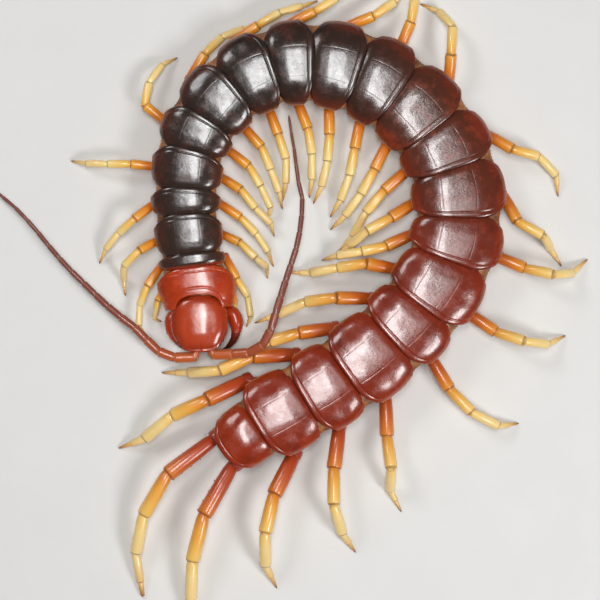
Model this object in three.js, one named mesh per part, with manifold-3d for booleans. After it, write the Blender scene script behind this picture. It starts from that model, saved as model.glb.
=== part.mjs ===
// A giant centipede at life size, curled in a hook with its head tucked inside the bend.
// Millimetres, +Z up. The feet stand on the plane z = 0 and the origin is under the middle of the animal.
// The midline runs from the front of the head to the tail; a heading is an angle in degrees, counted
// anticlockwise from +X as seen from above.
import * as THREE from "three";
import { mergeVertices } from "three/addons/utils/BufferGeometryUtils.js";
import Module from "manifold-3d";

const wasm = await Module();
wasm.setup();

// Colours, front to back.
const COLOURS = {
  head: "#a5281a",
  frontPlate: "#a3281a",
  darkPlate: "#38201a",
  redPlate: "#7c1d10",
  forcipule: "#a02214",
  antenna: "#8e4c3c",
  leg: "#d98a2e",
  terminalLeg: "#b0441c",
};

// The body.
const HEAD_FRONT = new THREE.Vector2(-21.9, -14.1); // where the front of the head lies
const HEAD_HEADING = 92;
const HEAD_LENGTH = 12.4; // up to the corners of its rear edge
const JOINT_GAP = 0.3; // the clearance that every two neighbouring pieces keep
// Each trunk segment, front to back: the length of plate that shows, and the plate's heading.
const SEGMENTS = [
  { length: 10.0, heading: 99 },
  { length: 3.7, heading: 97 },
  { length: 10.5, heading: 97 },
  { length: 6.9, heading: 91 },
  { length: 10.2, heading: 83 },
  { length: 9.3, heading: 66 },
  { length: 11.4, heading: 48 },
  { length: 11.6, heading: 27 },
  { length: 10.7, heading: 6 },
  { length: 12.4, heading: -12 },
  { length: 11.9, heading: -29 },
  { length: 13.2, heading: -45 },
  { length: 11.7, heading: -63 },
  { length: 13.0, heading: -83 },
  { length: 11.8, heading: -102 },
  { length: 14.2, heading: -121 },
  { length: 11.9, heading: -134 },
  { length: 15.0, heading: -142 },
  { length: 12.8, heading: -148 },
  { length: 14.5, heading: -150 },
  { length: 11.4, heading: -143 },
];
const SEGMENT_COUNT = SEGMENTS.length;
// Plate widths: the first plate, the narrow neck, the widest place and the last full plate.
const FIRST_WIDTH = 20.4;
const NECK = { segment: 2, width: 17.8 };
const WIDEST = { segment: 14, width: 25.2 };
const HIND = { segment: 20, width: 22.6 };
const LAST_WIDTH = 16.4;
// Heights above the floor.
const BACK_HEIGHT = 12.2;
const HEAD_HEIGHT = 10.6;
const BELLY_HEIGHT = 1.7;
const COXA_HEIGHT = 3.6;

const radians = THREE.MathUtils.degToRad;
const towards = (heading) => new THREE.Vector2(Math.cos(radians(heading)), Math.sin(radians(heading)));
const ease = (t) => 0.5 - 0.5 * Math.cos(Math.PI * THREE.MathUtils.clamp(t, 0, 1));
const lerp = THREE.MathUtils.lerp;

function plateWidth(segment) {
  if (segment === 1) return FIRST_WIDTH;
  if (segment === SEGMENT_COUNT) return LAST_WIDTH;
  if (segment <= WIDEST.segment) {
    const along = (segment - NECK.segment) / (WIDEST.segment - NECK.segment);
    return lerp(NECK.width, WIDEST.width, ease(along * 0.5 + 0.5 * along ** 0.9));
  }
  return lerp(WIDEST.width, HIND.width, ((segment - WIDEST.segment) / (HIND.segment - WIDEST.segment)) ** 1.6);
}

// The top of the back is lower on the neck and on the last plate.
function backHeight(segment) {
  const front = ease((segment - 1) / 7);
  const hind = ease((SEGMENT_COUNT - segment) / 4);
  return HEAD_HEIGHT + (BACK_HEIGHT - HEAD_HEIGHT) * Math.min(front, hind);
}

// Where each plate ends, with the heading halfway between the plates on its two sides.
const boundaries = [];
{
  const at = HEAD_FRONT.clone().addScaledVector(towards(HEAD_HEADING), HEAD_LENGTH);
  boundaries.push({ at: at.clone(), heading: HEAD_HEADING });
  SEGMENTS.forEach((segment, i) => {
    at.addScaledVector(towards(segment.heading), segment.length);
    const next = SEGMENTS[i + 1] ?? segment;
    boundaries.push({ at: at.clone(), heading: (segment.heading + next.heading) / 2 });
  });
}

// A place on the midline of a trunk segment, from 0 at its front to 1 at its rear.
function station(segment, along) {
  const front = boundaries[segment - 1];
  const rear = boundaries[segment];
  const length = SEGMENTS[segment - 1].length;
  const t = along;
  const frontPull = towards(front.heading).multiplyScalar(length * (t ** 3 - 2 * t ** 2 + t));
  const rearPull = towards(rear.heading).multiplyScalar(length * (t ** 3 - t ** 2));
  const at = front.at
    .clone()
    .multiplyScalar(2 * t ** 3 - 3 * t ** 2 + 1)
    .addScaledVector(rear.at, 3 * t ** 2 - 2 * t ** 3)
    .add(frontPull)
    .add(rearPull);
  return { at, heading: lerp(front.heading, rear.heading, t) };
}

// A point beside the midline: left is towards the animal's left, back is towards its tail.
function beside({ at, heading }, left, height, back = 0) {
  const sideways = towards(heading - 90);
  const tailward = towards(heading);
  const x = at.x + sideways.x * left + tailward.x * back;
  const y = at.y + sideways.y * left + tailward.y * back;
  return new THREE.Vector3(x, y, height);
}

// A closed surface through rings of points, with a fan over each end.
function loft(rings) {
  const sides = rings[0].length;
  const points = rings.flat();
  const middle = (ring) => ring.reduce((sum, p) => sum.add(p), new THREE.Vector3()).divideScalar(sides);
  const first = points.push(middle(rings[0])) - 1;
  const last = points.push(middle(rings.at(-1))) - 1;
  const faces = [];
  for (let k = 0; k < sides; k++) {
    const next = (k + 1) % sides;
    faces.push(first, next, k);
    faces.push(last, (rings.length - 1) * sides + k, (rings.length - 1) * sides + next);
    for (let r = 0; r < rings.length - 1; r++) {
      const a = r * sides;
      const b = a + sides;
      faces.push(a + k, a + next, b + next, a + k, b + next, b + k);
    }
  }
  const geometry = new THREE.BufferGeometry().setFromPoints(points);
  geometry.setIndex(faces);
  return geometry;
}

// Closed geometry as a solid, turned to face out whichever way its rings were wound.
function solid(geometry) {
  const bare = geometry.index ? geometry.toNonIndexed() : geometry.clone();
  bare.deleteAttribute("normal");
  bare.deleteAttribute("uv");
  const merged = mergeVertices(bare, 1e-4);
  const build = (triVerts) =>
    new wasm.Manifold(
      new wasm.Mesh({ numProp: 3, vertProperties: merged.attributes.position.array, triVerts }),
    );
  const made = build(new Uint32Array(merged.index.array));
  return made.volume() > 0 ? made : build(new Uint32Array(merged.index.array).reverse());
}

// The largest closed body of several solids that are joined into one.
function fuse(solids) {
  const joined = solids.reduce((sum, next) => sum.add(next));
  return joined.decompose().reduce((best, body) => (body.volume() > best.volume() ? body : best));
}

function toMesh(name, body, colour) {
  const { numProp, numVert, vertProperties, triVerts } = body.getMesh();
  const positions = new Float32Array(numVert * 3);
  for (let i = 0; i < numVert; i++) {
    positions.set(vertProperties.subarray(i * numProp, i * numProp + 3), i * 3);
  }
  const geometry = new THREE.BufferGeometry();
  geometry.setAttribute("position", new THREE.BufferAttribute(positions, 3));
  geometry.setIndex(new THREE.BufferAttribute(new Uint32Array(triVerts), 1));
  geometry.computeVertexNormals();
  const mesh = new THREE.Mesh(
    geometry,
    new THREE.MeshStandardMaterial({ color: colour, roughness: 0.3, metalness: 0 }),
  );
  mesh.name = name;
  return mesh;
}

// A ring of a limb: a circle across a direction, standing no lower than the floor.
function limbRing(centre, direction, radius, sides) {
  const across = new THREE.Vector3().crossVectors(direction, new THREE.Vector3(0, 0, 1)).normalize();
  const up = new THREE.Vector3().crossVectors(across, direction).normalize();
  return Array.from({ length: sides }, (_, k) => {
    const turn = ((k + 0.5) / sides) * 2 * Math.PI;
    const point = centre
      .clone()
      .addScaledVector(across, radius * Math.cos(turn))
      .addScaledVector(up, radius * Math.sin(turn));
    point.z = Math.max(point.z, 0);
    return point;
  });
}

// A jointed limb: each article widens to a cuff, and a narrower neck leads into the next one.
const NECK_SHARE = 0.8; // of the next article's radius
const CUFF_SHARE = 0.62; // how far a cuff or a shoulder lies from its joint, in radii
function limb(joints, radii, sides) {
  const ways = joints.slice(1).map((joint, i) => joint.clone().sub(joints[i]).normalize());
  const rings = [limbRing(joints[0], ways[0], radii[0].base, sides)];
  for (let i = 1; i < joints.length - 1; i++) {
    const cuff = radii[i - 1].end;
    const shoulder = radii[i].base;
    const back = joints[i].clone().addScaledVector(ways[i - 1], -cuff * CUFF_SHARE);
    const on = joints[i].clone().addScaledVector(ways[i], shoulder * CUFF_SHARE);
    const mitre = ways[i - 1].clone().add(ways[i]).normalize();
    rings.push(limbRing(back, ways[i - 1], cuff, sides));
    rings.push(limbRing(joints[i], mitre, Math.min(cuff, shoulder) * NECK_SHARE, sides));
    rings.push(limbRing(on, ways[i], shoulder, sides));
  }
  rings.push(limbRing(joints.at(-1), ways.at(-1), radii.at(-1).end, sides));
  return loft(rings);
}

// Half of a body ring, from the top of the back round the plate's rim to the belly. Across is a share of
// the plate's width; down is below the back, and up is above the belly.
const BACK_LINE = [
  { across: 0, down: 0 },
  { across: 0.2, down: 0.1 },
  { across: 0.34, down: 0.75 },
  { across: 0.45, down: 2.1 },
  { across: 0.5, down: 3.7 },
  { across: 0.48, down: 4.3 },
];
const FLANK_LINE = [
  { across: 0.4, up: 3.4 },
  { across: 0.28, up: 0.25 },
  { across: 0, up: 0 },
];
const ROOT_SHARE = 0.34; // where the flank lies at the legs' roots, as a share of the plate's width

function bodyRing(place, width, back) {
  const half = [
    ...BACK_LINE.map(({ across, down }) => [across * width, back - down]),
    ...FLANK_LINE.map(({ across, up }) => [across * width, BELLY_HEIGHT + up]),
  ];
  const other = half
    .slice(1, -1)
    .reverse()
    .map(([x, z]) => [-x, z]);
  return [...half, ...other].map(([x, z]) => beside(place, x, z));
}

// How a plate swells between its front, tucked under the plate before it, and its rear edge.
const PLATE_SHAPE = [
  { along: 0.0, width: 0.85, down: 0.9 },
  { along: 0.09, width: 0.93, down: 0.35 },
  { along: 0.34, width: 0.99, down: 0.05 },
  { along: 0.68, width: 1.0, down: 0.0 },
  { along: 0.9, width: 0.955, down: 0.1 },
  { along: 1.0, width: 0.89, down: 0.4 },
];

function segmentRings(segment) {
  const inset = JOINT_GAP / 2 / SEGMENTS[segment - 1].length;
  return PLATE_SHAPE.map(({ along, width, down }) => {
    const place = station(segment, lerp(inset, 1 - inset, along));
    const tail = segment === SEGMENT_COUNT && along > 0.8 ? lerp(1, 0.8, (along - 0.8) / 0.2) : 1;
    return bodyRing(place, plateWidth(segment) * width * tail, backHeight(segment) - down);
  });
}

// The legs. Headings are those of the thigh (prefemur), femur, tibia and foot; heights are those of the two
// knees and the ankle. The claws stand on the floor.
// A reach below 1 is a leg that has grown back a little shorter.
const LEGS = {
  left: [
    { headings: [-85, -88, -94, -125], heights: [1.1, 0.95, 0.8] },
    { headings: [-62, -58, -82, -115], heights: [5, 3, 3.4] },
    { headings: [-26, -45, -37, -88], heights: [7.2, 8, 3.4] },
    { headings: [-34, -46, -57, -71], heights: [4.6, 4, 2.4] },
    { headings: [-33, -52, -44, -77], heights: [6.2, 6, 3.4] },
    { headings: [-38, -60, -65, -109], heights: [4.6, 5, 3.4] },
    { headings: [-49, -68, -69, -80], heights: [4.6, 4, 2.4] },
    { headings: [-70, -72, -91, -101], heights: [4.6, 4, 2.4] },
    { headings: [-69, -81, -91, -97], heights: [4.6, 4, 2.4] },
    { headings: [-89, -95, -103, -116], heights: [4.6, 4, 2.4] },
    { headings: [-101, -101, -111, -121], heights: [4.6, 4, 2.4] },
    { headings: [-117, -119, -127, -136], heights: [4.6, 4, 2.4] },
    { headings: [-139, -129, -119, -132], heights: [4.6, 4, 1.4] },
    { headings: [-148, -151, -139, -139], heights: [6.2, 7, 2.4], reach: 0.94 },
    { headings: [-156, -168, -171, -163], heights: [4.6, 5, 3.2], reach: 0.84 },
    { headings: [170, -171, -170, 179], heights: [6.2, 4, 1.4], reach: 0.94 },
    { headings: [179, -172, -156, -159], heights: [7.2, 4, 1.4] },
    { headings: [-172, -163, -150, -149], heights: [4.6, 3.6, 1.2], reach: 0.9 },
    { headings: [-178, -156, -176, -179], heights: [5.7, 6.0, 1.4] },
    { headings: [-155, -155, -140, -159], heights: [7.2, 5, 2.4] },
  ],
  right: [
    { headings: [-117, -100, -104, -25], heights: [5.4, 3.4, 1.6], reach: 0.68 },
    { headings: [-124, -113, -92, -58], heights: [5, 3, 3.4] },
    { headings: [-149, -135, -97, -85], heights: [7.2, 6, 1.4] },
    { headings: [-141, -140, -130, -116], heights: [6.2, 4, 2.4] },
    { headings: [174, -180, 177, 170], heights: [4.6, 4, 2.4] },
    { headings: [142, 79, 55, 28], heights: [4.6, 4, 2.4] },
    { headings: [57, 46, 24, 16], heights: [4.6, 3.0, 1.0] },
    { headings: [33, 31, 19, 22], heights: [5.2, 5, 2.4] },
    { headings: [25, 34, 33, 42], heights: [4.6, 4, 3.4] },
    { headings: [21, 36, 71, 94], heights: [5.2, 4, 2.4] },
    { headings: [67, 81, 78, 74], heights: [5.2, 4, 2.4] },
    { headings: [87, 86, 125, 156], heights: [7.2, 6, 1.4] },
    { headings: [-31, -13, -44, -84], heights: [6.2, 4, 1.4] },
    { headings: [-63, -29, -50, -57], heights: [7.2, 8, 1.4] },
    { headings: [-23, -13, 5, 41], heights: [5.2, 8, 2.4] },
    { headings: [-34, -18, -7, 24], heights: [5.0, 8, 3.4] },
    { headings: [-59, -46, -27, 5], heights: [4.6, 6, 3.4] },
    { headings: [-88, -83, -91, -63], heights: [4.6, 8, 1.4] },
    { headings: [-98, -90, -74, -56], heights: [6.2, 8, 3.4] },
    { headings: [-117, -103, -90, -65], heights: [7.2, 8, 3.4] },
  ],
};
// Where the legs leave their segments, as a share of the segment's length, on the first and on the last.
const ROOT_ALONG = { front: 0.45, rear: 0.75 };
const ROOT_CLEARANCE = 1.05; // how far a leg's root stands out from the flank
const ROOT_SPARE = 0.55; // what a root stands out further, as a share of its leg's radius
const FIRST_FEMUR = 4.4;
const LEG_SIDES = 6;
// Lengths and radii as shares of the femur's length.
const LEG_SHARES = { thigh: 1.2, tibia: 1.0, foot: 0.76, ankle: 0.52, radius: 0.205 };
const CLAW_RADIUS = 0.3;

// The femur grows from the first leg to the last.
function femurLength(segment) {
  if (segment === 1) return FIRST_FEMUR;
  const along = segment / 20;
  return 5.3 + 3.3 * along + 1.6 * along ** 8;
}

// Steps from a point by a length of limb: down or up by a rise, and on along a heading for the rest.
function stepFrom(point, heading, length, rise) {
  const level = Math.sqrt(Math.max(length ** 2 - rise ** 2, 0));
  const way = towards(heading);
  return new THREE.Vector3(point.x + way.x * level, point.y + way.y * level, point.z + rise);
}

// The place on the midline beside which a leg leaves its segment.
function legStation(segment) {
  return station(segment, lerp(ROOT_ALONG.front, ROOT_ALONG.rear, (segment / 20) ** 2));
}

// Where a leg starts: beside the flank, further out the more the leg is swept along the body.
function legRoot(side, segment, radius) {
  const { headings } = LEGS[side][segment - 1];
  const place = legStation(segment);
  const sign = side === "left" ? 1 : -1;
  const sideways = place.heading - 90 * sign;
  const sweep = Math.abs(Math.sin(radians(headings[0] - sideways)));
  const flank = plateWidth(segment) * ROOT_SHARE;
  return beside(place, sign * (flank + ROOT_CLEARANCE + radius * (ROOT_SPARE + sweep)), COXA_HEIGHT);
}

function legShape(side, segment) {
  const pose = LEGS[side][segment - 1];
  const femur = femurLength(segment) * (pose.reach ?? 1);
  const radius = femurLength(segment) * LEG_SHARES.radius;
  const [firstKnee, secondKnee, lift] = pose.heights;
  const root = legRoot(side, segment, radius);
  const first = stepFrom(root, pose.headings[0], femur * LEG_SHARES.thigh, firstKnee - root.z);
  const second = stepFrom(first, pose.headings[1], femur, secondKnee - first.z);
  const ankle = stepFrom(second, pose.headings[2], femur * LEG_SHARES.tibia, lift - second.z);
  const foot = femur * LEG_SHARES.foot;
  const toe = stepFrom(ankle, pose.headings[3], foot, CLAW_RADIUS * 0.6 - ankle.z);
  const middle = ankle.clone().lerp(toe, LEG_SHARES.ankle);
  return {
    joints: [root, first, second, ankle, middle, toe],
    radii: [
      { base: radius * 0.96, end: radius * 1.06 },
      { base: radius * 0.84, end: radius * 0.92 },
      { base: radius * 0.74, end: radius * 0.78 },
      { base: radius * 0.5, end: radius * 0.44 },
      { base: radius * 0.36, end: CLAW_RADIUS },
    ],
  };
}

// The coxa is the stub on the flank that carries a leg. Its flat face looks along the leg's thigh.
const COXA_DEPTH = 3.2;
function coxa(side, segment) {
  const { joints, radii } = legShape(side, segment);
  const way = joints[1].clone().sub(joints[0]).normalize();
  const sign = side === "left" ? 1 : -1;
  const flank = plateWidth(segment) * ROOT_SHARE;
  const inner = beside(legStation(segment), sign * (flank - COXA_DEPTH), COXA_HEIGHT);
  const inwards = joints[0].clone().sub(inner).normalize();
  const face = joints[0].clone().addScaledVector(way, -JOINT_GAP);
  return loft([
    limbRing(inner, inwards, radii[0].base * 0.9, LEG_SIDES + 2),
    limbRing(face, way, radii[0].base * 1.08, LEG_SIDES + 2),
  ]);
}

function trunkNode(name, segments, colour) {
  const rings = segments.flatMap(segmentRings);
  const coxae = segments
    .filter((segment) => segment < SEGMENT_COUNT)
    .flatMap((segment) => [coxa("left", segment), coxa("right", segment)]);
  return toMesh(name, fuse([loft(rings), ...coxae].map(solid)), colour);
}

// The last pair of legs trails behind the body: longer and thicker, on the coxopleura of the last segment.
const TERMINAL_LEGS = {
  left: [-143, -120, -102, -82],
  right: [-120, -104, -93, -88],
};
const TERMINAL_LENGTHS = [15.0, 12.8, 11.0, 8.2, 4.0]; // thigh, femur, tibia and the two feet pieces
const TERMINAL_HEIGHTS = [5.2, 7.4, 5.6, 3.0, 1.2, 0.3];
const TERMINAL_RADIUS = 2.1;
const TERMINAL_ROOT = { left: 4.4, back: 0.8 };

function terminalShape(side) {
  const [thigh, femur, tibia, foot] = TERMINAL_LEGS[side];
  const sign = side === "left" ? 1 : -1;
  const place = station(SEGMENT_COUNT, 1);
  const joints = [beside(place, sign * TERMINAL_ROOT.left, TERMINAL_HEIGHTS[0], TERMINAL_ROOT.back)];
  [thigh, femur, tibia, foot, foot].forEach((heading, i) => {
    const rise = TERMINAL_HEIGHTS[i + 1] - TERMINAL_HEIGHTS[i];
    joints.push(stepFrom(joints[i], heading, TERMINAL_LENGTHS[i], rise));
  });
  const shares = [
    { base: 0.92, end: 1.06 },
    { base: 0.86, end: 0.94 },
    { base: 0.76, end: 0.8 },
    { base: 0.6, end: 0.5 },
    { base: 0.4, end: 0.2 },
  ];
  const radii = shares.map(({ base, end }) => ({ base: base * TERMINAL_RADIUS, end: end * TERMINAL_RADIUS }));
  return { joints, radii };
}

function coxopleuron(side) {
  const { joints, radii } = terminalShape(side);
  const way = joints[1].clone().sub(joints[0]).normalize();
  const sign = side === "left" ? 1 : -1;
  const inner = beside(station(SEGMENT_COUNT, 0.3), sign * 4.4, TERMINAL_HEIGHTS[0]);
  const inwards = joints[0].clone().sub(inner).normalize();
  const face = joints[0].clone().addScaledVector(way, -JOINT_GAP);
  return loft([
    limbRing(inner, inwards, radii[0].base * 1.2, LEG_SIDES + 2),
    limbRing(face, way, radii[0].base * 1.1, LEG_SIDES + 2),
  ]);
}

// The head: a flat plate, round behind and narrower in front, over the block that carries the forcipules.
const HEAD_WIDTH = 15.2;
const HEAD_UNDER = 5.4; // how high the mouth side of the head lies
const HEAD_RINGS = [
  { along: -0.21, width: 0.3, down: 1.5 },
  { along: -0.17, width: 0.56, down: 0.9 },
  { along: -0.08, width: 0.79, down: 0.45 },
  { along: 0.06, width: 0.92, down: 0.2 },
  { along: 0.36, width: 1.0, down: 0.0 },
  { along: 0.62, width: 0.95, down: 0.05 },
  { along: 0.84, width: 0.8, down: 0.5 },
  { along: 0.98, width: 0.62, down: 1.3, raise: 3.2 },
];
const HEAD_LINE = [
  { across: 0, height: 1.0 },
  { across: 0.26, height: 0.95 },
  { across: 0.42, height: 0.74 },
  { across: 0.5, height: 0.42 },
  { across: 0.45, height: 0.1 },
  { across: 0.3, height: 0.0 },
  { across: 0, height: 0.0 },
];

// A place under or over the head: back runs from the front of the head to its rear corners.
const headPlace = (back) => ({
  at: HEAD_FRONT.clone().addScaledVector(towards(HEAD_HEADING), back),
  heading: HEAD_HEADING,
});

// One ring of the head, or of the socket that it sits in when it is grown by a clearance.
function headRing({ along, width, down, raise = 0 }, grow) {
  const place = headPlace(HEAD_LENGTH * (1 - along) + grow);
  const wide = HEAD_WIDTH * width + 2 * grow;
  const tall = HEAD_HEIGHT - down - HEAD_UNDER - raise + 2 * grow;
  const low = HEAD_UNDER + raise - grow;
  const half = HEAD_LINE.map(({ across, height }) => [across * wide, low + tall * height]);
  const other = half
    .slice(1, -1)
    .reverse()
    .map(([x, z]) => [-x, z]);
  return [...half, ...other].map(([x, z]) => beside(place, x, z));
}
const headLoft = (grow) => loft(HEAD_RINGS.map((ring) => headRing(ring, grow)));

// The coxosternite lies under the head and ends in front in a narrow edge with the tooth plates.
const COXOSTERNITE = { rearWidth: 10.4, frontWidth: 5.2, front: 4.2, underside: 2.1 };
function coxosternite() {
  const section = (back, width, low) => {
    const place = headPlace(back);
    const high = HEAD_UNDER + 1;
    const corners = [
      [0.5, low + 1.2],
      [0.5, high],
      [-0.5, high],
      [-0.5, low + 1.2],
      [-0.34, low],
      [0.34, low],
    ];
    return corners.map(([x, z]) => beside(place, x * width, z));
  };
  const { rearWidth, frontWidth, front, underside } = COXOSTERNITE;
  const rear = HEAD_LENGTH - JOINT_GAP;
  return loft([
    section(rear, rearWidth, underside),
    section(rear - 2.5, rearWidth, underside),
    section(front + 2, frontWidth * 1.1, underside),
    section(front, frontWidth, underside + 1.2),
  ]);
}

// The forcipules are the poison claws: a broad first article beside the head, then a curved fang. The left one
// is held a little open, and the right one is folded under the head.
const FORCIPULES = {
  left: [
    { side: 6.0, back: 10.2, height: 3.4, radius: 1.4 },
    { side: 7.1, back: 10.6, height: 3.8, radius: 1.7 },
    { side: 8.7, back: 10.2, height: 4.1, radius: 1.9 },
    { side: 9.5, back: 8.6, height: 4.2, radius: 1.95 },
    { side: 9.7, back: 6.9, height: 4.2, radius: 1.9 },
    { side: 9.65, back: 5.7, height: 4.1, radius: 1.5 },
    { side: 9.5, back: 4.8, height: 4.0, radius: 1.25 },
    { side: 9.1, back: 3.4, height: 3.8, radius: 1.05 },
    { side: 8.2, back: 1.9, height: 3.4, radius: 0.8 },
    { side: 6.9, back: 0.8, height: 3.2, radius: 0.5 },
    { side: 5.6, back: 0.3, height: 3.0, radius: 0.2 },
  ],
  right: [
    { side: 5.7, back: 10.0, height: 3.0, radius: 1.4 },
    { side: 6.6, back: 10.1, height: 3.0, radius: 1.65 },
    { side: 7.5, back: 9.2, height: 3.05, radius: 1.85 },
    { side: 7.7, back: 7.6, height: 3.1, radius: 1.9 },
    { side: 7.4, back: 5.8, height: 3.1, radius: 1.85 },
    { side: 6.8, back: 4.2, height: 3.1, radius: 1.5 },
    { side: 6.1, back: 3.2, height: 3.05, radius: 1.25 },
    { side: 5.1, back: 2.0, height: 3.0, radius: 1.05 },
    { side: 3.9, back: 1.1, height: 2.9, radius: 0.8 },
    { side: 2.7, back: 0.6, height: 2.8, radius: 0.5 },
    { side: 1.6, back: 0.4, height: 2.75, radius: 0.2 },
  ],
};
const FORCIPULE_SIDES = 10;
function forcipule(side) {
  const path = FORCIPULES[side];
  const sign = side === "left" ? 1 : -1;
  const points = path.map((stop) => beside(headPlace(stop.back), sign * stop.side, stop.height));
  const rings = points.map((point, i) => {
    const before = points[Math.max(i - 1, 0)];
    const after = points[Math.min(i + 1, points.length - 1)];
    const way = after.clone().sub(before).normalize();
    return limbRing(point, way, path[i].radius, FORCIPULE_SIDES);
  });
  return loft(rings);
}

// The antennae: seventeen short articles each, thinner and thinner. One heading for each article.
const ANTENNA_ARTICLE = 4.55;
const ANTENNA_RADIUS = { base: 1.3, middle: 0.72, tip: 0.32 };
const ANTENNAE = {
  left: {
    root: { side: 3.9, ahead: 0.8 },
    headings: [2, 4, 30, 61, 74, 73, 73, 72, 72, 78, 83, 88, 103, 98, 97, 100, 98],
    heights: [7.2, 11.2, 8.4, 6.4, 4.6],
  },
  right: {
    root: { side: 2.4, ahead: 1.3 },
    headings: [182, 159, 136, 134, 143, 141, 137, 136, 136, 133, 131, 129, 131, 134, 140, 140, 135],
    heights: [7.0, 6.8, 5.2, 4.0, 3.0],
  },
};
const SOCKET_DEPTH = { side: 2.0, back: 2.6 }; // from the antenna's root to the inner end of its socket
const ANTENNA_SIDES = 6;

// A value read from a few even stops along 0 to 1.
function along(stops, t) {
  const place = THREE.MathUtils.clamp(t, 0, 1) * (stops.length - 1);
  const i = Math.min(Math.floor(place), stops.length - 2);
  return lerp(stops[i], stops[i + 1], ease(place - i));
}

// The socket on the head's front edge that an antenna stands in.
function antennaSocket(side) {
  const { root, headings, heights } = ANTENNAE[side];
  const sign = side === "left" ? 1 : -1;
  const way = towards(headings[0]);
  const direction = new THREE.Vector3(way.x, way.y, 0);
  const joint = beside(headPlace(-root.ahead), sign * root.side, heights[0]);
  const face = joint.addScaledVector(direction, -JOINT_GAP);
  const inner = beside(headPlace(SOCKET_DEPTH.back), sign * (root.side - SOCKET_DEPTH.side), heights[0]);
  const { base } = ANTENNA_RADIUS;
  return loft([
    limbRing(inner, face.clone().sub(inner).normalize(), base * 0.9, ANTENNA_SIDES),
    limbRing(face, direction, base * 1.1, ANTENNA_SIDES),
  ]);
}

function antenna(side) {
  const { root, headings, heights } = ANTENNAE[side];
  const sign = side === "left" ? 1 : -1;
  const joints = [beside(headPlace(-root.ahead), sign * root.side, heights[0])];
  const radii = [];
  const { base, middle, tip } = ANTENNA_RADIUS;
  headings.forEach((heading, i) => {
    const share = (i + 1) / headings.length;
    const rise = along(heights, share) - joints[i].z;
    joints.push(stepFrom(joints[i], heading, ANTENNA_ARTICLE, rise));
    const radius = share < 0.4 ? lerp(base, middle, share / 0.4) : lerp(middle, tip, (share - 0.4) / 0.6);
    radii.push({ base: radius, end: radius });
  });
  const rings = joints.map((joint, i) => {
    const before = joints[Math.max(i - 1, 0)];
    const after = joints[Math.min(i + 1, joints.length - 1)];
    const radius = radii[Math.min(i, radii.length - 1)].base;
    return limbRing(joint, after.clone().sub(before).normalize(), radius, ANTENNA_SIDES);
  });
  return loft(rings);
}

const centipede = new THREE.Group();
centipede.name = "giant_centipede";
const two = (n) => String(n).padStart(2, "0");
for (const side of ["left", "right"]) {
  for (let segment = 1; segment < SEGMENT_COUNT; segment++) {
    const { joints, radii } = legShape(side, segment);
    const body = solid(limb(joints, radii, LEG_SIDES));
    centipede.add(toMesh(`leg_${side}_${two(segment)}`, body, COLOURS.leg));
  }
}
const firstCoxae = [coxa("left", 1), coxa("right", 1)].map(solid);
const firstPlate = solid(loft(segmentRings(1))).subtract(solid(headLoft(JOINT_GAP)));
centipede.add(toMesh("trunk_01", fuse([firstPlate, ...firstCoxae]), COLOURS.frontPlate));
for (let segment = 2; segment < SEGMENT_COUNT - 1; segment += 2) {
  const colour = segment < 12 ? COLOURS.darkPlate : COLOURS.redPlate;
  centipede.add(trunkNode(`trunk_${two(segment)}_${two(segment + 1)}`, [segment, segment + 1], colour));
}
centipede.add(trunkNode("trunk_20", [20], COLOURS.redPlate));
const sockets = [antennaSocket("left"), antennaSocket("right")];
const headParts = [headLoft(0), coxosternite(), ...sockets];
const lastRings = segmentRings(SEGMENT_COUNT);
const lastParts = [loft(lastRings), coxopleuron("left"), coxopleuron("right")];
centipede.add(toMesh("trunk_21", fuse(lastParts.map(solid)), COLOURS.redPlate));
centipede.add(toMesh("head", fuse(headParts.map(solid)), COLOURS.head));
for (const side of ["left", "right"]) {
  const { joints, radii } = terminalShape(side);
  const terminal = solid(limb(joints, radii, LEG_SIDES + 2));
  centipede.add(toMesh(`leg_${side}_21`, terminal, COLOURS.terminalLeg));
  centipede.add(toMesh(`forcipule_${side}`, solid(forcipule(side)), COLOURS.forcipule));
  centipede.add(toMesh(`antenna_${side}`, solid(antenna(side)), COLOURS.antenna));
}

export default centipede;
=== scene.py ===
# %% [markdown]
# # A giant centipede, built plate by plate
# This file dresses the imported model of a giant centipede. The solids give the place and the size of every
# part. Here each of them gets the finer form and the finish of the living animal: glossy overlapping plates,
# soft skin between them, jointed legs that run from orange to cream, beaded antennae and a pair of poison
# claws.
#
# The imported model is loaded first, because everything else is placed around it.

# %% Load the imported model
import math

import bpy
import numpy as np
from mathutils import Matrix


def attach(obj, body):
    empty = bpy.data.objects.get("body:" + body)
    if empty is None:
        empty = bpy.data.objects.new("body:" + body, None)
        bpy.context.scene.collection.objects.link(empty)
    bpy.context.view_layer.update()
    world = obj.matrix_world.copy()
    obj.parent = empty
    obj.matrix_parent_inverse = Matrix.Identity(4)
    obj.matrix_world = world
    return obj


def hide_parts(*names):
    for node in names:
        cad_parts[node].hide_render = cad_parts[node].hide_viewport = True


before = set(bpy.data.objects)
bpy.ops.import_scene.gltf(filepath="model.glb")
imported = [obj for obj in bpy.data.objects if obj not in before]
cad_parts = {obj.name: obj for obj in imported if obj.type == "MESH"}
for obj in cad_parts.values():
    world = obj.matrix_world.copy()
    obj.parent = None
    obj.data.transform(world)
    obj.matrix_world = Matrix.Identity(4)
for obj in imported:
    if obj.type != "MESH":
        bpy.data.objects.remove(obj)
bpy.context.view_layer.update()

# %% [markdown]
# ## The midline
# The body is a chain of twenty-one segments on one flat curve. It could be drawn as a Bezier curve, but a
# list with the length and the heading of each segment is what can be measured on the animal, so it says
# more. A heading is an angle in degrees, counted anticlockwise from +X. Every size is in millimetres until a
# mesh is made.

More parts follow.
